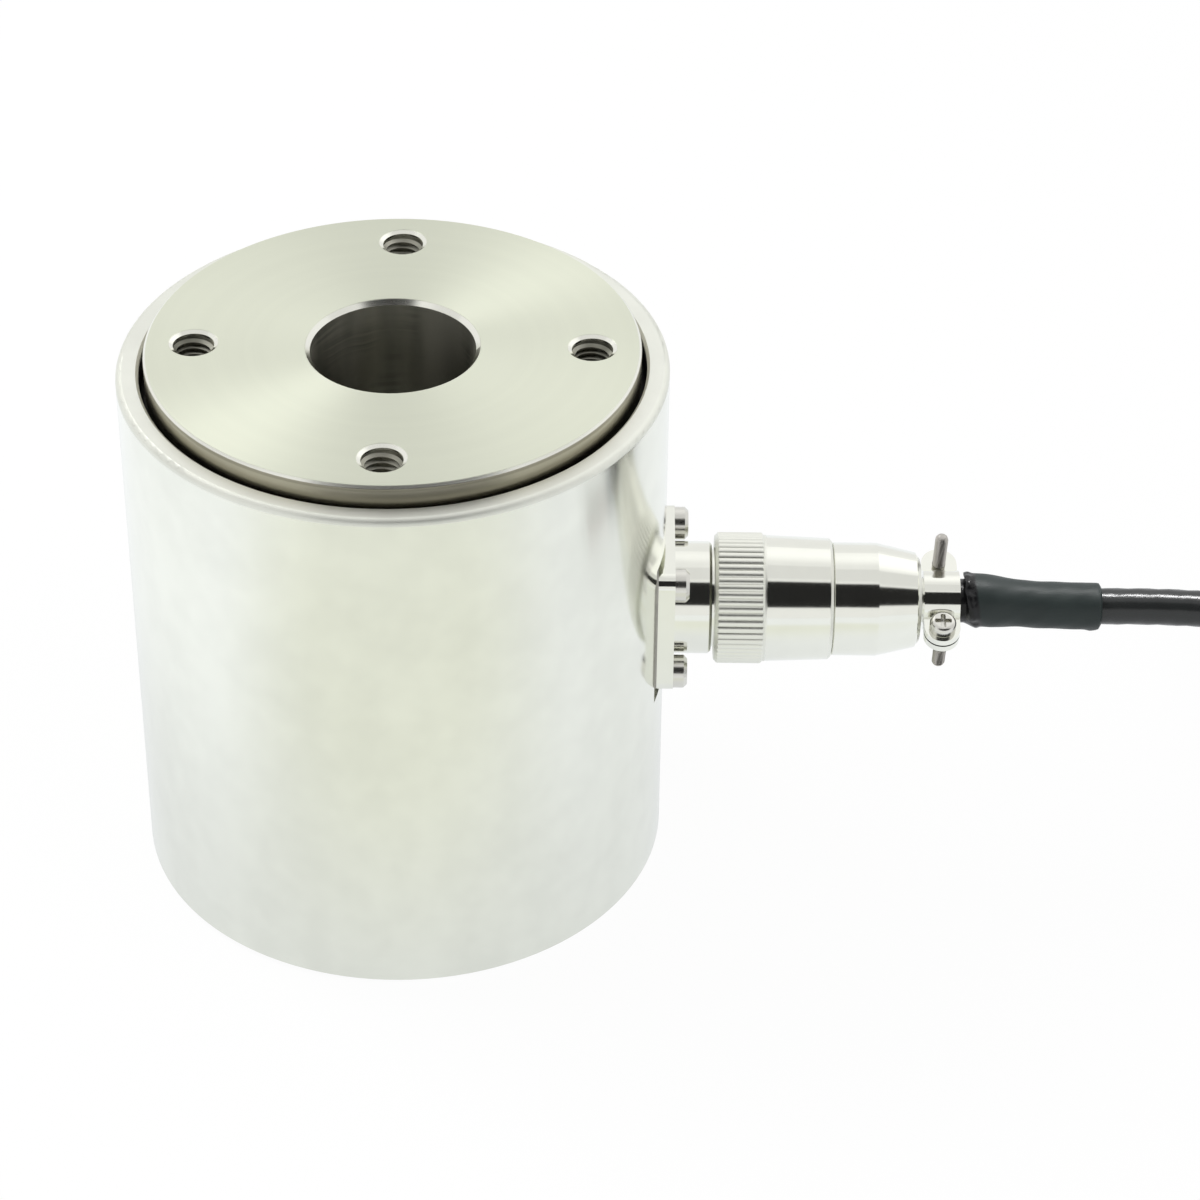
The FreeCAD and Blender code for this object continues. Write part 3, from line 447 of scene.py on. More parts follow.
def gauge_film(name):
    """Amber carrier film with the fine bars of a foil grid."""
    film_dark, film_pale, foil = (0.42, 0.20, 0.03, 1.0), (0.62, 0.34, 0.08, 1.0), (0.66, 0.52, 0.34, 1.0)
    wave_per_metre = 6000.0
    finish = Finish(name)
    x, y, _ = finish.axes()
    bars = finish.ramp(finish.math("SINE", (x + y) * wave_per_metre), -0.2, 0.2)
    cloud = finish.cloud(0.002)
    film = finish.mix(cloud, film_dark, film_pale)
    return finish.close(
        Base_Color=finish.mix(bars, film, foil),
        Metallic=bars * 0.8,
        Roughness=0.35 + cloud * 0.1)


def shells_to_mesh(name, shells):
    """Join closed shells into one mesh.

    A shell is a grid of points, one row to a ring.  Rings close on themselves and join their neighbours
    with quads.  A looped shell's last ring joins its first; otherwise a fan to the middle of each end ring
    closes it.  Faces are turned outwards by the sign of the enclosed volume, the sum over triangles of
    a . (b x c) / 6.
    """
    points, quads, fans, count = [], [], [], 0
    for rings, looped in shells:
        rows, columns, _ = rings.shape
        own = rings.reshape(-1, 3)
        index = np.arange(rows * columns).reshape(rows, columns)
        after = np.roll(index, -1, axis=1)
        near = np.stack([index, after], axis=-1)
        far = np.roll(near, -1, axis=0)
        sides = np.concatenate([near, far[..., ::-1]], axis=-1)
        caps = np.empty((0, 3), int)
        if not looped:
            sides = sides[:-1]
            own = np.vstack([own, rings[0].mean(axis=0), rings[-1].mean(axis=0)])
            first = np.stack([after[0], index[0], np.full(columns, rows * columns)], axis=-1)
            last = np.stack([index[-1], after[-1], np.full(columns, rows * columns + 1)], axis=-1)
            caps = np.vstack([first, last])
        sides = sides.reshape(-1, 4)
        corners = own[np.vstack([sides[:, :3], sides[:, [0, 2, 3]], caps])] - own.mean(axis=0)
        volume = np.einsum("ij,ij->", corners[:, 0], np.cross(corners[:, 1], corners[:, 2])) / 6.0
        if volume < 0.0:
            sides, caps = sides[:, ::-1], caps[:, ::-1]
        points.append(own)
        quads.append(sides + count)
        fans.append(caps + count)
        count += len(own)
    points, quads, fans = np.vstack(points), np.vstack(quads), np.vstack(fans)
    corner_vertices = np.concatenate([quads.ravel(), fans.ravel()])
    face_sizes = np.concatenate([np.full(len(quads), 4), np.full(len(fans), 3)])
    mesh = bpy.data.meshes.new(name)
    mesh.vertices.add(len(points))
    mesh.vertices.foreach_set("co", points.ravel())
    mesh.loops.add(len(corner_vertices))
    mesh.loops.foreach_set("vertex_index", corner_vertices)
    mesh.polygons.add(len(face_sizes))
    mesh.polygons.foreach_set("loop_start", np.cumsum(face_sizes) - face_sizes)
    mesh.polygons.foreach_set("use_smooth", np.ones(len(face_sizes), bool))
    mesh.update(calc_edges=True)
    if mesh.validate():
        raise RuntimeError("%s has faulty faces" % name)
    mesh.set_sharp_from_angle(angle=CREASE)
    return mesh


def add_piece(name, shells, body, slot, finish=None):
    """Add a piece made of closed shells, riding on a body, in its slot's finish or the one named."""
    piece = bpy.data.objects.new(name, shells_to_mesh(name, shells))
    piece.data.materials.append(bpy.data.materials[(finish or slot) + "_finish"])
    bpy.context.collection.objects.link(piece)
    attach(piece, body)
    return piece


def moved(rings, matrix):
    """A grid of points carried by a matrix."""
    turn = np.array(matrix.to_3x3())
    return rings @ turn.T + np.array(matrix.translation)


def thread_ridge(radius, ridge, pitch, length, inwards):
    """Ridge of a screw thread about +Z from z = 0.

    A trapezium, seven eighths of a pitch wide at its foot and a seventh at its crest, is carried up a
    helix: at angle a it stands at z = pitch a / 2 pi.  Its height grows over the first half turn and dies
    over the last.
    """
    turns = length / pitch
    steps_per_turn = 40
    angle = np.linspace(0.0, TURN * turns, int(turns * steps_per_turn) + 1)[:, None]
    grown = np.clip(np.minimum(angle, angle[-1] - angle) / math.pi, 0.02, 1.0)
    across = np.array([-0.44, -0.07, 0.07, 0.44]) * pitch
    height = np.array([-0.06, 1.0, 1.0, -0.06]) * ridge * grown
    reach = radius - height if inwards else radius + height
    rise = pitch * angle / TURN + across
    return np.stack([reach * np.cos(angle), reach * np.sin(angle), rise], axis=-1)


def screw_shank(radius, length, pitch):
    """Threaded shank from its tip at z = -length up to z = 0.

    The radius is a triangle wave of z / pitch - angle / 2 pi, and it narrows over the tip's last turns.
    """
    angle = np.linspace(0.0, TURN, 48, endpoint=False)[None, :]
    z = np.linspace(-length, 0.0, int(length / pitch * 10))[:, None]
    wave = np.abs(((z / pitch - angle / TURN) % 1.0) * 2.0 - 1.0)
    point = np.clip((z + length) / (1.6 * pitch), 0.0, 1.0)
    reach = (radius - 0.27 * radius * wave) * (0.55 + 0.45 * point ** 0.6)
    rise = np.broadcast_to(z, reach.shape)
    return np.stack([reach * np.cos(angle), reach * np.sin(angle), rise], axis=-1)


def recessed_head(radius, height):
    """Pan head with a cross recess, its underside at z = 0.

    Rings run out under the head, up its side, over a quarter round and in across the top.  The top dips
    where the distance to the nearer of the two slot lines, r min(|sin a|, |cos a|), is under half the
    slot's width.
    """
    slot_reach, slot_half, slot_depth = 0.62 * radius, 0.17 * radius, 0.62 * height
    angle = np.linspace(0.0, TURN, 128, endpoint=False)[None, :]
    edge = 0.45 * height
    sweep = np.linspace(0.0, 0.5 * math.pi, 8)[:, None]
    brow_r = radius - edge + edge * np.cos(sweep)
    brow_z = height - edge + edge * np.sin(sweep)
    side_r = np.array([0.45, 0.97, 1.0])[:, None] * radius
    side_z = np.array([0.0, 0.0, 0.04])[:, None] * height
    top_r = np.linspace(radius - edge, 0.02 * radius, 48)[1:, None]
    slot_gap = top_r * np.minimum(np.abs(np.sin(angle)), np.abs(np.cos(angle)))
    slot_end = np.clip((slot_reach - top_r) / (0.1 * radius), 0.0, 1.0)
    dip = np.clip((slot_half - slot_gap) / (0.05 * radius), 0.0, 1.0) * slot_end
    top_z = height - slot_depth * dip
    ones = np.ones_like(angle)
    reach = np.vstack([side_r, brow_r, top_r]) * ones
    rise = np.vstack([side_z * ones, brow_z * ones, top_z])
    return np.stack([reach * np.cos(angle), reach * np.sin(angle), rise], axis=-1)


def spline_points(points, resolution):
    """Points read from the smooth spline that has the given control points."""
    curve = bpy.data.curves.new("route", "CURVE")
    curve.dimensions = "3D"
    curve.resolution_u = resolution
    spline = curve.splines.new("NURBS")
    spline.points.add(len(points) - 1)
    weighted = np.column_stack([np.asarray(points), np.ones(len(points))])
    spline.points.foreach_set("co", weighted.ravel())
    spline.order_u = 3
    spline.use_endpoint_u = True
    holder = bpy.data.objects.new("route", curve)
    mesh = bpy.data.meshes.new_from_object(holder)
    read = np.empty(len(mesh.vertices) * 3)
    mesh.vertices.foreach_get("co", read)
    bpy.data.objects.remove(holder)
    bpy.data.curves.remove(curve)
    bpy.data.meshes.remove(mesh)
    return read.reshape(-1, 3)


def smooth_step(values, low, high):
    """Smooth step from 0 at low to 1 at high, on an array."""
    share = np.clip((values - low) / (high - low), 0.0, 1.0)
    return share * share * (3.0 - 2.0 * share)


def bell(values, middle, width):
    """Bell exp(-((v - middle) / width)^2) on an array."""
    return np.exp(-((values - middle) / width) ** 2)


def coil_points(sizes):
    """Control points of the coil, equal steps of a turn apart, counter-clockwise from above.

    Each layer is a flat spiral whose radius changes by one lead diameter in a turn, inwards and outwards
    in alternate layers.  Between layers the radius rests while the lead steps down by one diameter.  The
    spline runs inside its control points by the cosine of half a step, so they stand that much further out.
    """
    step = sizes.diameter
    end_gap = 0.06
    turns = sizes.coil_layers * sizes.layer_turns + (sizes.coil_layers - 1) * sizes.step_turns
    place = np.arange(0.5, (turns - end_gap) * COIL_STEPS) / COIL_STEPS
    period = sizes.layer_turns + sizes.step_turns
    layer = np.floor(place / period)
    along = place - layer * period
    wound = np.minimum(along, sizes.layer_turns)
    inner = sizes.coil_radius - step * sizes.layer_turns
    radius = np.where(layer % 2 == 0, sizes.coil_radius - step * wound, inner + step * wound)
    stepped = smooth_step(along, sizes.layer_turns, period)
    height = step * (sizes.coil_layers - 0.5 - layer - stepped)
    angle = TURN * (place - 0.25)
    reach = radius / math.cos(math.pi / COIL_STEPS)
    across = COIL_CENTRE[0] + reach * np.cos(angle)
    back = COIL_CENTRE[1] + reach * np.sin(angle)
    return np.column_stack([across, back, height])


def path_frames(path):
    """Distance along a path, its heading, and the level and upright directions square to it."""
    heading = np.gradient(path, axis=0)
    heading /= np.linalg.norm(heading, axis=1, keepdims=True)
    level = np.cross(heading, (0.0, 0.0, 1.0))
    level /= np.linalg.norm(level, axis=1, keepdims=True)
    upright = np.cross(level, heading)
    steps = np.linalg.norm(np.diff(path, axis=0), axis=1)
    return np.concatenate([[0.0], np.cumsum(steps)]), heading, level, upright


def tube(path, radius, columns):
    """Tube about a path: at angle a its skin stands at radius (level cos a + upright sin a) from the path.

    The radius is one number or a grid of distance along by angle round.
    """
    _, _, level, upright = path_frames(path)
    angle = np.linspace(0.0, TURN, columns, endpoint=False)[None, :, None]
    reach = np.broadcast_to(radius, (len(path), columns))[..., None]
    outwards = np.cos(angle) * level[:, None, :] + np.sin(angle) * upright[:, None, :]
    return path[:, None, :] + reach * outwards


def lead_path(sizes):
    """The lead's line from the plug through the coil to the stripped end."""
    return spline_points(np.vstack([PLUG_ROUTE, coil_points(sizes), TAIL_ROUTE]), 12)


def jacket_shell(path, sizes):
    """The lead's skin: a tube on which the lay of the cores shows as faint, slowly turning ridges.

    Its radius dips by depth (1 - cos(cores (a - 2 pi d / lay))), where a is the angle round the lead and d
    the distance along it.
    """
    columns = 30
    distance = path_frames(path)[0][:, None]
    angle = np.linspace(0.0, TURN, columns, endpoint=False)[None, :]
    lay = np.cos(CORE_COUNT * (angle - TURN * distance / LAY_LENGTH))
    return tube(path, 0.5 * sizes.diameter + LAY_DEPTH * (lay - 1.0), columns)


def shrink_shell(path, cable_radius):
    """Shrunk sleeve: a closed profile of radius over the distance behind the clamp, carried round the path.

    Squeezed under the clamp, it swells to a rim with a rolled edge, narrows in a smooth step and ends in a
    quarter round; then it runs back along the lead's skin.  The rim leans with the sine of the angle, as
    the cut does, and is lumpy by a sum of sines.  The bulge stands a little high, and a lip hangs under the
    far end.
    """
    squeezed, bulge, body = 0.00332, 0.00404, 0.00356
    start, mouth, rim, far_end = -0.0024, 0.0009, 0.0020, 0.0216
    roll, lump, wrinkle, end_round = 0.0002, 0.0002, 0.00002, 0.0006
    lift, lip, skin_gap = 0.00028, 0.00028, 0.00004
    behind = np.concatenate([[start], np.linspace(mouth, 0.0038, 30), np.linspace(0.0041, far_end, 60)])
    opened = smooth_step(behind, mouth, 0.0015)
    radius = bulge + (body - bulge) * smooth_step(behind, 0.0040, 0.0096) + roll * bell(behind, rim, 0.0005)
    radius = squeezed + (radius - squeezed) * opened
    rounding = np.clip((behind - far_end) / end_round + 1.0, 0.0, 1.0)
    radius -= end_round * (1.0 - np.sqrt(1.0 - rounding ** 2))
    swollen = opened - smooth_step(behind, 0.0027, 0.0088)
    lumpy = bell(behind, rim, 0.0009)
    hanging = bell(behind, far_end - 0.0014, 0.0007)
    swollen, lumpy, hanging, radius = [row[:, None] for row in (swollen, lumpy, hanging, radius)]
    angle = np.linspace(0.0, TURN, 72, endpoint=False)[None, :]
    rough = 0.5 * np.sin(5 * angle + 0.7) + 0.3 * np.sin(9 * angle + 2.1) + 0.25 * np.sin(14 * angle + 4.0)
    crinkle = np.sin(3 * angle + 900.0 * behind[:, None]) + np.sin(7 * angle - 1400.0 * behind[:, None])
    below = np.clip(-np.sin(angle), 0.0, 1.0) ** 3
    lumps = lump * lumpy * rough
    reach = radius + lumps + wrinkle * crinkle + lip * hanging * below
    shift = lumps - CUT_LEAN * swollen * np.sin(angle)
    skin = np.full((2, angle.size), cable_radius + skin_gap)
    reach, shift = np.vstack([reach, skin]), np.vstack([shift, 0.0 * skin])
    high = np.vstack([lift * swollen, np.zeros((2, 1))])[..., None]
    places = CLAMP_BACK_X + np.append(behind, [far_end - 0.0004, start])
    _, heading, level, upright = path_frames(path)
    rows = np.hstack([path, heading, level, upright]).T
    at = [np.interp(places, path[:, 0], row) for row in rows]
    centre, heading, level, upright = [np.column_stack(at[k:k + 3])[:, None, :] for k in (0, 3, 6, 9)]
    reach, shift, angle = reach[..., None], shift[..., None], angle[..., None]
    outwards = np.cos(angle) * level + np.sin(angle) * upright
    return centre + high * upright + reach * outwards + shift * heading


def tie_shell(sizes):
    """Strap round the coil's section: a flat rounded section carried round a rounded rectangle.

    The rectangle is a superellipse, |x/a|^p + |y/b|^p = 1 with p = 7, followed by
    x = a sgn(cos u)|cos u|^(2/p).
    """
    inside, outside, thick, floor_gap = 0.0208, 0.0031, 0.0004, 0.00002
    low, high = sizes.coil_radius - inside, sizes.coil_radius + outside
    height = sizes.diameter * sizes.coil_layers
    turn = np.linspace(0.0, TURN, 160, endpoint=False)
    power = 2.0 / 7.0
    wide = np.sign(np.cos(turn)) * np.abs(np.cos(turn)) ** power
    tall = np.sign(np.sin(turn)) * np.abs(np.sin(turn)) ** power
    section = np.linspace(0.0, TURN, 16, endpoint=False)[None, :]
    across = np.sign(np.cos(section)) * np.abs(np.cos(section)) ** 0.25 * 0.5 * sizes.tie_width
    lift = thick * np.sin(section)
    half_wide = 0.5 * (high - low) + thick + lift
    half_tall = 0.5 * height + lift
    reach = 0.5 * (low + high) + half_wide * wide[:, None]
    lowest = floor_gap + 0.5 * (lift + thick)
    rise = np.maximum(0.5 * height + half_tall * tall[:, None] + thick, lowest)
    side = np.broadcast_to(across, reach.shape)
    aim, cross = math.cos(sizes.tie_azimuth), math.sin(sizes.tie_azimuth)
    x = COIL_CENTRE[0] + reach * aim - side * cross
    y = COIL_CENTRE[1] + reach * cross + side * aim
    return np.stack([x, y, rise], axis=-1)


def stripped_cores(path, sizes):
    """Four cores that fan out from the jacket's end and come down to the floor, each with a tinned tip.

    A core is a tube along a spline from inside the jacket over a bend near the floor to its tip.
    """
    sheaths = {"red": (0.42, 0.02, 0.015), "black": (0.012, 0.012, 0.013),
               "green": (0.02, 0.20, 0.05), "white": (0.72, 0.72, 0.69)}
    root_spread, root_inside, bend_spread, bend_height = 0.0012, 0.002, 0.002, 0.0017
    bend_share, sheathed_share, tip_radius, columns = 0.4, 0.8, 0.00042, 12
    start = path[-1]
    heading = path[-1] - path[-2]
    heading /= np.linalg.norm(heading)
    across = np.array([-heading[1], heading[0], 0.0])
    pieces, tips = [], []
    for place, (name, colour) in enumerate(sheaths.items()):
        side = place - 0.5 * (CORE_COUNT - 1)
        root = start + across * side * root_spread - heading * root_inside
        bend = start + heading * sizes.core_length * bend_share + across * side * bend_spread
        bend[2] = bend_height
        tip = start + heading * sizes.core_length + across * side * sizes.core_spread
        tip[2] = CORE_RADIUS
        line = spline_points([root, bend, tip], 24)
        bare = int(len(line) * sheathed_share)
        core = "core_" + name
        soft_skin(core + "_finish", colour, 0.35, 0.0004, 0.00001)
        sheath = tube(line[:bare], CORE_RADIUS, columns)
        pieces.append(add_piece(core, [(sheath, False)], "plug", "wire_sheath", core))
        tips.append((tube(line[bare - 1:], tip_radius, columns), False))
    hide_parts("lead_ends")
    bright_plate("tinned_tip_finish", (0.72, 0.72, 0.70), 0.3)
    pieces.append(add_piece("core_tips", tips, "plug", "screw_nickel", "tinned_tip"))
    return pieces


def dress_nodes(finishes):
    """Put each finish on every node whose material slot it is made for."""
    for part in frame["record"]["subparts"]:
        material = finishes.get(part["material_slot"])
        if material:
            mesh = frame["nodes"][part["node"]].data
            mesh.materials.clear()
            mesh.materials.append(material)


class LOADCELL_OT_metal_finishes(bpy.types.Operator):
    """Give the steel, plated and gilt pieces their finishes"""

    bl_idname = "loadcell.metal_finishes"
    bl_label = "Metal finishes"

    def execute(self, context):
        colours = context.scene.cell_colours
        knurl = (NUT_X, NUT_X + context.scene.cell_sizes.knurl_length)
        nut_edge = (NUT_BACK_X - 0.0003, NUT_BACK_X)
        shell_edge = (CLAMP_FRONT_X - 0.0009, CLAMP_FRONT_X - 0.0003)
        dull_bands = (knurl, nut_edge, shell_edge)
        dress_nodes({
            "turned_steel": turned_steel(colours.turned),
            "sleeve_steel": sleeve_steel(colours.sleeve),
            "nickel_plate": bright_plate("nickel_plate_finish", colours.nickel, 0.06, dull_bands),
            "screw_nickel": bright_plate("screw_nickel_finish", (0.74, 0.73, 0.68), 0.19),
            "contact_gold": bright_plate("contact_gold_finish", (0.83, 0.62, 0.25), 0.14),
            "lead_enamel": bright_plate("lead_enamel_finish", (0.62, 0.30, 0.14), 0.22),
        })
        return {"FINISHED"}


class LOADCELL_OT_other_finishes(bpy.types.Operator):
    """Give the rubber, moulded and laminate pieces their finishes"""

    bl_idname = "loadcell.other_finishes"
    bl_label = "Rubber and plastic finishes"

    def execute(self, context):
        colours = context.scene.cell_colours
        # Colour, roughness, size of the grain and its depth
        skins = {
            "seal_rubber": ((0.015, 0.015, 0.016), 0.45, 0.0002, 0.00002),
            "gasket_rubber": ((0.50, 0.49, 0.45), 0.6, 0.0003, 0.00003),
            "board_laminate": ((0.03, 0.16, 0.07), 0.35, 0.0003, 0.00002),
            "resistor_body": ((0.03, 0.03, 0.032), 0.35, 0.0002, 0.00002),
            "wire_sheath": ((0.45, 0.05, 0.04), 0.35, 0.0004, 0.00002),
            "insert_moulding": ((0.02, 0.02, 0.022), 0.4, 0.0003, 0.00002),
            "cable_jacket": (colours.jacket, 0.16, 0.0003, 0.00001),
            "tie_strap": ((0.02, 0.02, 0.022), 0.8, 0.0005, 0.0001),
        }
        finishes = {slot: soft_skin(slot + "_finish", *skin) for slot, skin in skins.items()}
        finishes["gauge_foil"] = gauge_film("gauge_foil_finish")
        finishes["shrink_sleeve"] = shrunk_sleeve(colours.shrink, CLAMP_BACK_X)
        dress_nodes(finishes)
        return {"FINISHED"}


class LOADCELL_OT_tapped_threads(bpy.types.Operator):
    """Cut threads into the tapped holes of both faces"""

    bl_idname = "loadcell.tapped_threads"
    bl_label = "Tapped threads"

    def execute(self, context):
        sizes = context.scene.cell_sizes
        for name in ("top_tapped_holes", "base_tapped_holes"):
            mount = MOUNTS[name]
            dims = mount["dims"]
            facing = mount["axis"][2]
            hole, circle = dims["hole_r_mm"] * 0.001, dims["pcd_mm"] * 0.0005
            length = sizes.tap_length - TAP_START
            ridge = thread_ridge(hole, sizes.tap_ridge, sizes.tap_pitch, length, True)
            flip = Matrix.Rotation(math.pi, 4, "X") if facing > 0 else Matrix.Identity(4)
            shells = []
            for number in range(dims["count"]):
                angle = TURN * number / dims["count"]
                offset = Vector((circle * math.cos(angle), circle * math.sin(angle), -TAP_START * facing))
                place = Matrix.Translation(Vector(mount["pos_m"]) + offset) @ flip
                shells.append((moved(ridge, place), False))
            add_piece(name.replace("holes", "threads"), shells, "cell", "turned_steel")
        return {"FINISHED"}


class LOADCELL_OT_coupling_thread(bpy.types.Operator):
    """Cut the receptacle's coupling thread, which shows when the nut is unscrewed"""

    bl_idname = "loadcell.coupling_thread"
    bl_label = "Coupling thread"

    def execute(self, context):
        sizes = context.scene.cell_sizes
        length = sizes.coupling_length - COUPLING_RUNOUT
        ridge = thread_ridge(sizes.coupling_root, COUPLING_RIDGE, sizes.coupling_pitch, length, False)
        start = Vector((MOUTH_X - sizes.coupling_length, 0.0, CONNECTOR_Z))
        place = Matrix.Translation(start) @ Matrix.Rotation(0.5 * math.pi, 4, "Y")
        add_piece("coupling_thread", [(moved(ridge, place), False)], "cell", "nickel_plate")
        return {"FINISHED"}


class LOADCELL_OT_clamp_screws(bpy.types.Operator):
    """Put the two threaded screws into the cable clamp, one from each side"""

    bl_idname = "loadcell.clamp_screws"
    bl_label = "Clamp screws"

    def execute(self, context):
        sizes = context.scene.cell_sizes
        head = recessed_head(HEAD_RADIUS, HEAD_HEIGHT)
        shank = screw_shank(SHANK_RADIUS, SHANK_LENGTH, SHANK_PITCH)
        clamp = Matrix.Translation((CLAMP_X, 0.0, CONNECTOR_Z))
        seat = Matrix.Translation((0.0, -0.5 * sizes.clamp_spacing, sizes.clamp_seat))
        heads, shanks = [], []
        for half in (0.0, math.pi):
            place = clamp @ Matrix.Rotation(sizes.clamp_turn + half, 4, "X") @ seat
            heads.append((moved(head, place), False))
            shanks.append((moved(shank, place), False))
        screw_heads = add_piece("clamp_screw_heads", heads, "plug", "screw_nickel")
        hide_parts("clamp_screws")
        # The shanks are painted darker than the heads, as shade in their thread grooves
        bright_plate("screw_shank_finish", (0.52, 0.50, 0.465), 0.30)
        add_piece("clamp_screw_shanks", shanks, "plug", "screw_nickel", "screw_shank")
        return {"FINISHED"}


class LOADCELL_OT_lead(bpy.types.Operator):
    """Lay the lead from the plug to its coil, with its shrunk sleeve, tie and stripped cores"""

    bl_idname = "loadcell.lead"
    bl_label = "Lead"

    def execute(self, context):
        sizes = context.scene.lead_sizes
        path = lead_path(sizes)
        lead = add_piece("lead_jacket", [(jacket_shell(path, sizes), False)], "plug", "cable_jacket")
        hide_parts("cable_run", "cable_coil", "cable_tail")
        front = path[path[:, 0] < SLEEVE_PATH_END_X]
        front = front[:np.argmax(front[:, 0]) + 1]
        shrunk = shrink_shell(front, 0.5 * sizes.diameter)
        sleeve = add_piece("shrunk_sleeve", [(shrunk, True)], "plug", "shrink_sleeve")
        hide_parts("heat_shrink_sleeve")
        tie = add_piece("coil_strap", [(tie_shell(sizes), True)], "plug", "tie_strap")
        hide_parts("coil_tie")
        pieces = [sleeve, tie] + stripped_cores(path, sizes)
        lit = bpy.data.collections.new("lead_pieces")
        lit.objects.link(lead)
        lit.objects.link(sleeve)
        return {"FINISHED"}


class LOADCELL_OT_studio(bpy.types.Operator):
    """Set up the white floor, the lamps, the room and the camera"""

    bl_idname = "loadcell.studio"
    bl_label = "Studio"

    def execute(self, context):
        add_floor()
        add_room(context.scene)
        add_lamp("key_lamp", direction=(-0.62, 0.30, 0.72), distance=1.0, size=0.5, power=2.6)
        add_lamp("fill_lamp", direction=(0.55, -0.35, 0.75), distance=1.1, size=0.6, power=1.2)
        # This lamp draws the gleam along the lead and its sleeve, and lights nothing else
        glint = add_lamp("lead_lamp", direction=(0.33, 0.33, 0.885), distance=0.63, size=0.10, power=1.7)
        glint.visible_glossy = True
        glint.light_linking.receiver_collection = bpy.data.collections["lead_pieces"]
        add_camera(context.scene)
        context.scene.view_settings.view_transform = "Standard"
        return {"FINISHED"}


def add_floor():
    """White floor; it keeps the object's soft shadow, and metal sees mostly a glowing painted reflection of
    it, about as bright as the eye sees it.

    That painted reflection is faintly warm in front of the cell and cool elsewhere, with painted shade
    towards the cell's foot and a painted pool of light to the left.
    """
    side, drop = 2.5, 0.0001
    corners = np.array([(-side, -side, 0.0), (side, -side, 0.0), (side, side, 0.0), (-side, side, 0.0)])
    mesh = bpy.data.meshes.new("floor")
    mesh.from_pydata((corners - (0.0, 0.0, drop)).tolist(), [], [(0, 1, 2, 3)])
    floor = bpy.data.objects.new("floor", mesh)
    bpy.context.collection.objects.link(floor)
    material = bpy.data.materials.new("floor_paper")
    material.use_nodes = True
    mesh.materials.append(material)
    nodes = Nodes(material.node_tree)
    nodes.tree.nodes.clear()
    camera = nodes.add("ShaderNodeLightPath", output="Is Camera Ray")
    glossy = nodes.add("ShaderNodeLightPath", output="Is Glossy Ray")
    point = nodes.add("ShaderNodeTexCoord", output="Object")
    x, y = [nodes.add("ShaderNodeSeparateXYZ", None, {0: point}, output=axis) for axis in "XY"]
    # Painted reflection seen by metal: warm in front of the cell, cool elsewhere
    warm_y, warm_half_x, warm_half_y = -0.13, 0.185, 0.11
    cool, warm = (1.02, 1.045, 1.07, 1.0), (0.93, 0.95, 0.86, 1.0)
    spread = ((x / warm_half_x) ** 2.0 + ((y - warm_y) / warm_half_y) ** 2.0) ** 0.5
    painted_tint = nodes.mix(nodes.ramp(spread, 1.0, 0.3), cool, warm)
    # Painted shade near the cell's foot and a painted pool of light to the left, seen only in metal
    foot = nodes.ramp((x * x + y * y) ** 0.5, 0.100, 0.036)
    painted_light_pool = nodes.ramp(x, -0.05, -0.11)
    level = 1.0 - foot * 0.11 + painted_light_pool * 0.09
    painted_sheen = nodes.add("ShaderNodeVectorMath", {"operation": "SCALE"}, {0: painted_tint, "Scale": level})
    paper = nodes.add("ShaderNodeBsdfDiffuse", None, {"Color": (0.9, 0.9, 0.9, 1.0)})
    seen = nodes.add("ShaderNodeEmission", None, {"Color": WHITE, "Strength": 1.035})
    # Glossy rays see this glowing painted reflection instead of the lit paper
    painted_reflection = nodes.add("ShaderNodeEmission", None, {"Color": painted_sheen, "Strength": 1.0})
    shade = nodes.add("ShaderNodeMixShader", None, {0: camera * 0.9, 1: paper, 2: seen})
    shade = nodes.add("ShaderNodeMixShader", None, {0: glossy * 0.85, 1: shade, 2: painted_reflection})
    target = nodes.tree.nodes.new("ShaderNodeOutputMaterial")
    nodes.feed(target.inputs["Surface"], shade)


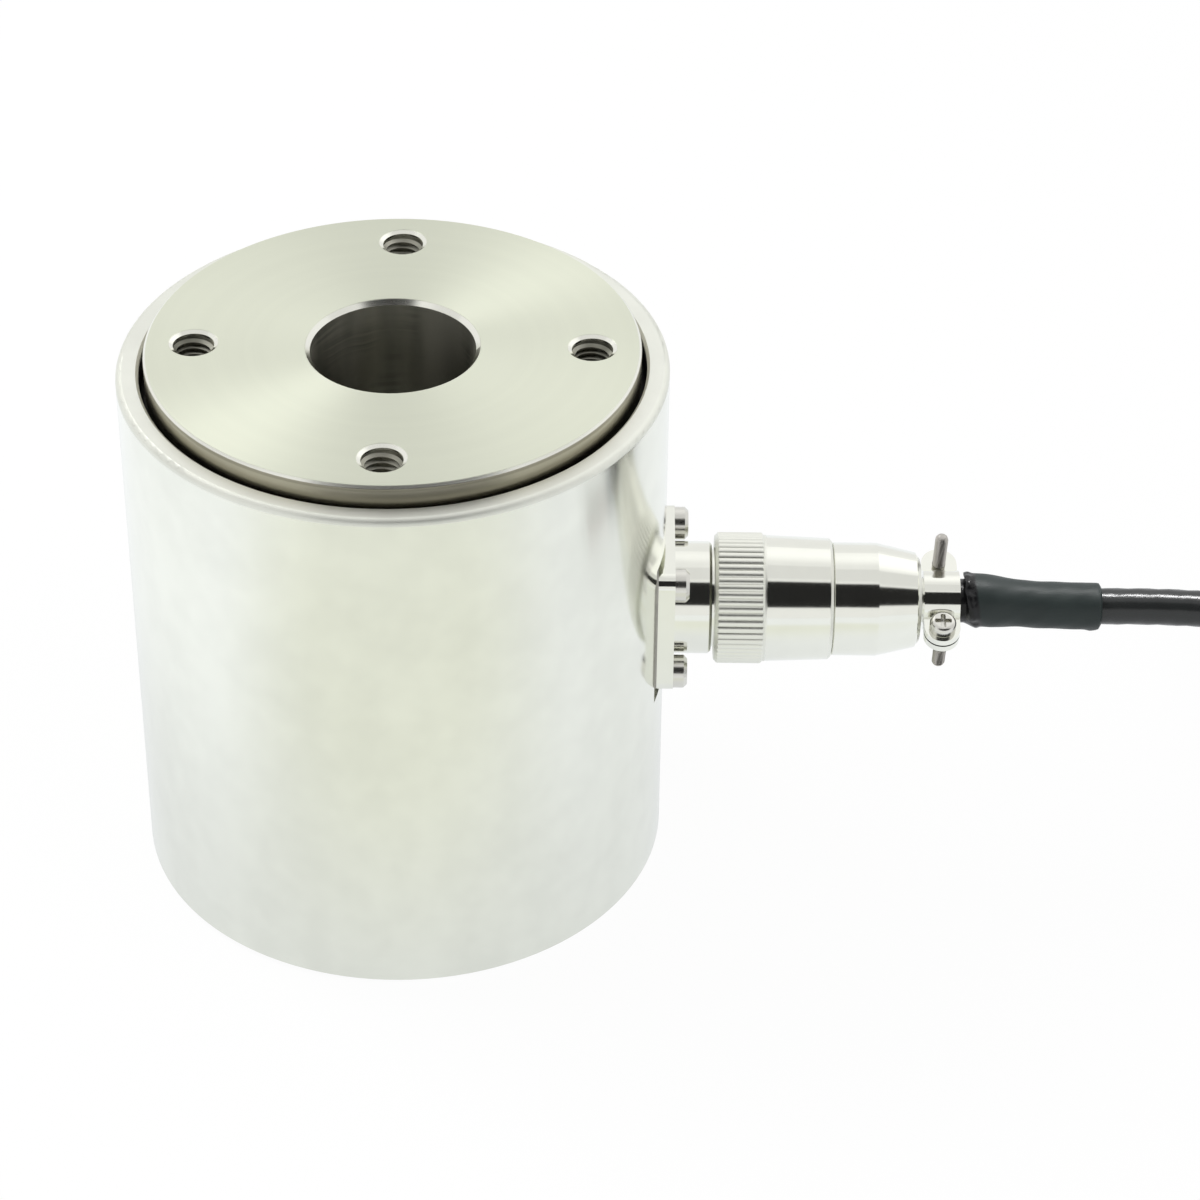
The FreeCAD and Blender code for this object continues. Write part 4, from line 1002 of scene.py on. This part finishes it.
def add_room(scene):
    """White room: white to the eye and softly lit.

    In metal it shows a painted reflection, seen only by glossy rays: two brighter panels overhead and
    behind, the left one stronger, a greyer strip of roof, and a dark oval in front, a little to the right.
    """
    world = bpy.data.worlds.new("white_room")
    world.use_nodes = True
    scene.world = world
    nodes = Nodes(world.node_tree)
    direction = nodes.add("ShaderNodeTexCoord", output="Generated")

    def along(axis):
        """Cosine of the angle between the view and an axis."""
        settings = {"operation": "DOT_PRODUCT"}
        return nodes.add("ShaderNodeVectorMath", settings, {0: direction, 1: axis}, output="Value")

    def towards(axis, wide, narrow):
        """1 within the narrow angle of an axis, 0 outside the wide one, in degrees."""
        low, high = math.cos(math.radians(wide)), math.cos(math.radians(narrow))
        return nodes.ramp(along(axis), low, high)

    # Painted reflection for glossy rays only: a dark oval, two bright panels and a greyer roof strip
    rise, oval_right = math.radians(43.0), 0.11
    oval_half_x, oval_half_y = math.sin(math.radians(37.5)), math.sin(math.radians(23.5))
    sideways = (along((1.0, 0.0, 0.0)) - oval_right) / oval_half_x
    upwards = along((0.0, math.sin(rise), math.cos(rise))) / oval_half_y
    ahead = nodes.ramp(along((0.0, -math.cos(rise), math.sin(rise))), 0.0, 0.3)
    oval = ahead * nodes.ramp(sideways * sideways + upwards * upwards, 1.12, 0.92)
    left = towards((-0.372, 0.541, 0.754), 14.0, 4.0)
    right = towards((0.390, 0.585, 0.711), 30.0, 0.0)
    roof = nodes.ramp(nodes.math("ABSOLUTE", along((0.0, 1.0, 0.0)) + 0.07), 0.25, 0.21)
    # Glossy rays see the painted reflection; other rays see a plain soft light
    painted_reflection = (0.93 + left * 1.75 + right * 0.35) * (1.0 - roof * 0.13) * (1.0 - oval * 0.98)
    camera = nodes.add("ShaderNodeLightPath", output="Is Camera Ray")
    glossy = nodes.add("ShaderNodeLightPath", output="Is Glossy Ray")
    soft_light = 0.55
    strength = camera + (1.0 - camera) * (glossy * painted_reflection + (1.0 - glossy) * soft_light)
    background = nodes.tree.nodes["Background"]
    nodes.feed(background.inputs["Color"], WHITE)
    nodes.feed(background.inputs["Strength"], strength)


def add_lamp(name, direction, distance, size, power):
    """Square soft lamp that shines at the middle of the cell from a direction."""
    light = bpy.data.lights.new(name, "AREA")
    light.size = size
    light.energy = power
    lamp = bpy.data.objects.new(name, light)
    middle = Vector((0.0, 0.0, 0.05))
    aim = Vector(direction).normalized()
    lamp.location = middle + aim * distance
    lamp.rotation_mode = "QUATERNION"
    lamp.rotation_quaternion = aim.to_track_quat("Z", "Y")
    lamp.visible_glossy = False
    bpy.context.collection.objects.link(lamp)
    return lamp


def add_camera(scene):
    """Camera at the photograph's viewing angle, level apart from a slight roll."""
    elevation, roll = math.radians(36.56), math.radians(0.70)
    target, distance = Vector((0.03027, 0.0, 0.04222)), 0.5516
    forward = Vector((0.0, math.cos(elevation), -math.sin(elevation)))
    upward = Vector((0.0, math.sin(elevation), math.cos(elevation)))
    sideways = Vector((1.0, 0.0, 0.0))
    right = math.cos(roll) * sideways + math.sin(roll) * upward
    above = math.cos(roll) * upward - math.sin(roll) * sideways
    turn = Matrix((right, above, -forward)).transposed().to_4x4()
    data = bpy.data.cameras.new("camera")
    data.sensor_width = 36.0
    data.lens = 109.29
    data.clip_start = 0.01
    camera = bpy.data.objects.new("camera", data)
    camera.matrix_world = Matrix.Translation(target - distance * forward) @ turn
    bpy.context.collection.objects.link(camera)
    scene.camera = camera


class LOADCELL_PT_sidebar(bpy.types.Panel):
    """Sidebar panel that lists the steps in order"""

    bl_idname = "LOADCELL_PT_sidebar"
    bl_label = "Load Cell"
    bl_space_type = "VIEW_3D"
    bl_region_type = "UI"
    bl_category = "Load Cell"

    def draw(self, context):
        for operator in OPERATORS:
            self.layout.operator(operator.bl_idname)


GROUPS = {"cell_sizes": CellSizes, "lead_sizes": LeadSizes, "cell_colours": FinishColours}
OPERATORS = (
    LOADCELL_OT_metal_finishes,
    LOADCELL_OT_other_finishes,
    LOADCELL_OT_tapped_threads,
    LOADCELL_OT_coupling_thread,
    LOADCELL_OT_clamp_screws,
    LOADCELL_OT_lead,
    LOADCELL_OT_studio,
)


def register():
    for name, group in GROUPS.items():
        bpy.utils.register_class(group)
        setattr(bpy.types.Scene, name, PointerProperty(type=group))
    for operator in OPERATORS:
        bpy.utils.register_class(operator)
    bpy.utils.register_class(LOADCELL_PT_sidebar)


def unregister():
    bpy.utils.unregister_class(LOADCELL_PT_sidebar)
    for operator in reversed(OPERATORS):
        bpy.utils.unregister_class(operator)
    for name, group in GROUPS.items():
        delattr(bpy.types.Scene, name)
        bpy.utils.unregister_class(group)


def main():
    register()
    for operator in OPERATORS:
        category, name = operator.bl_idname.split(".")
        getattr(getattr(bpy.ops, category), name)()


if __name__ == "__main__":
    main()
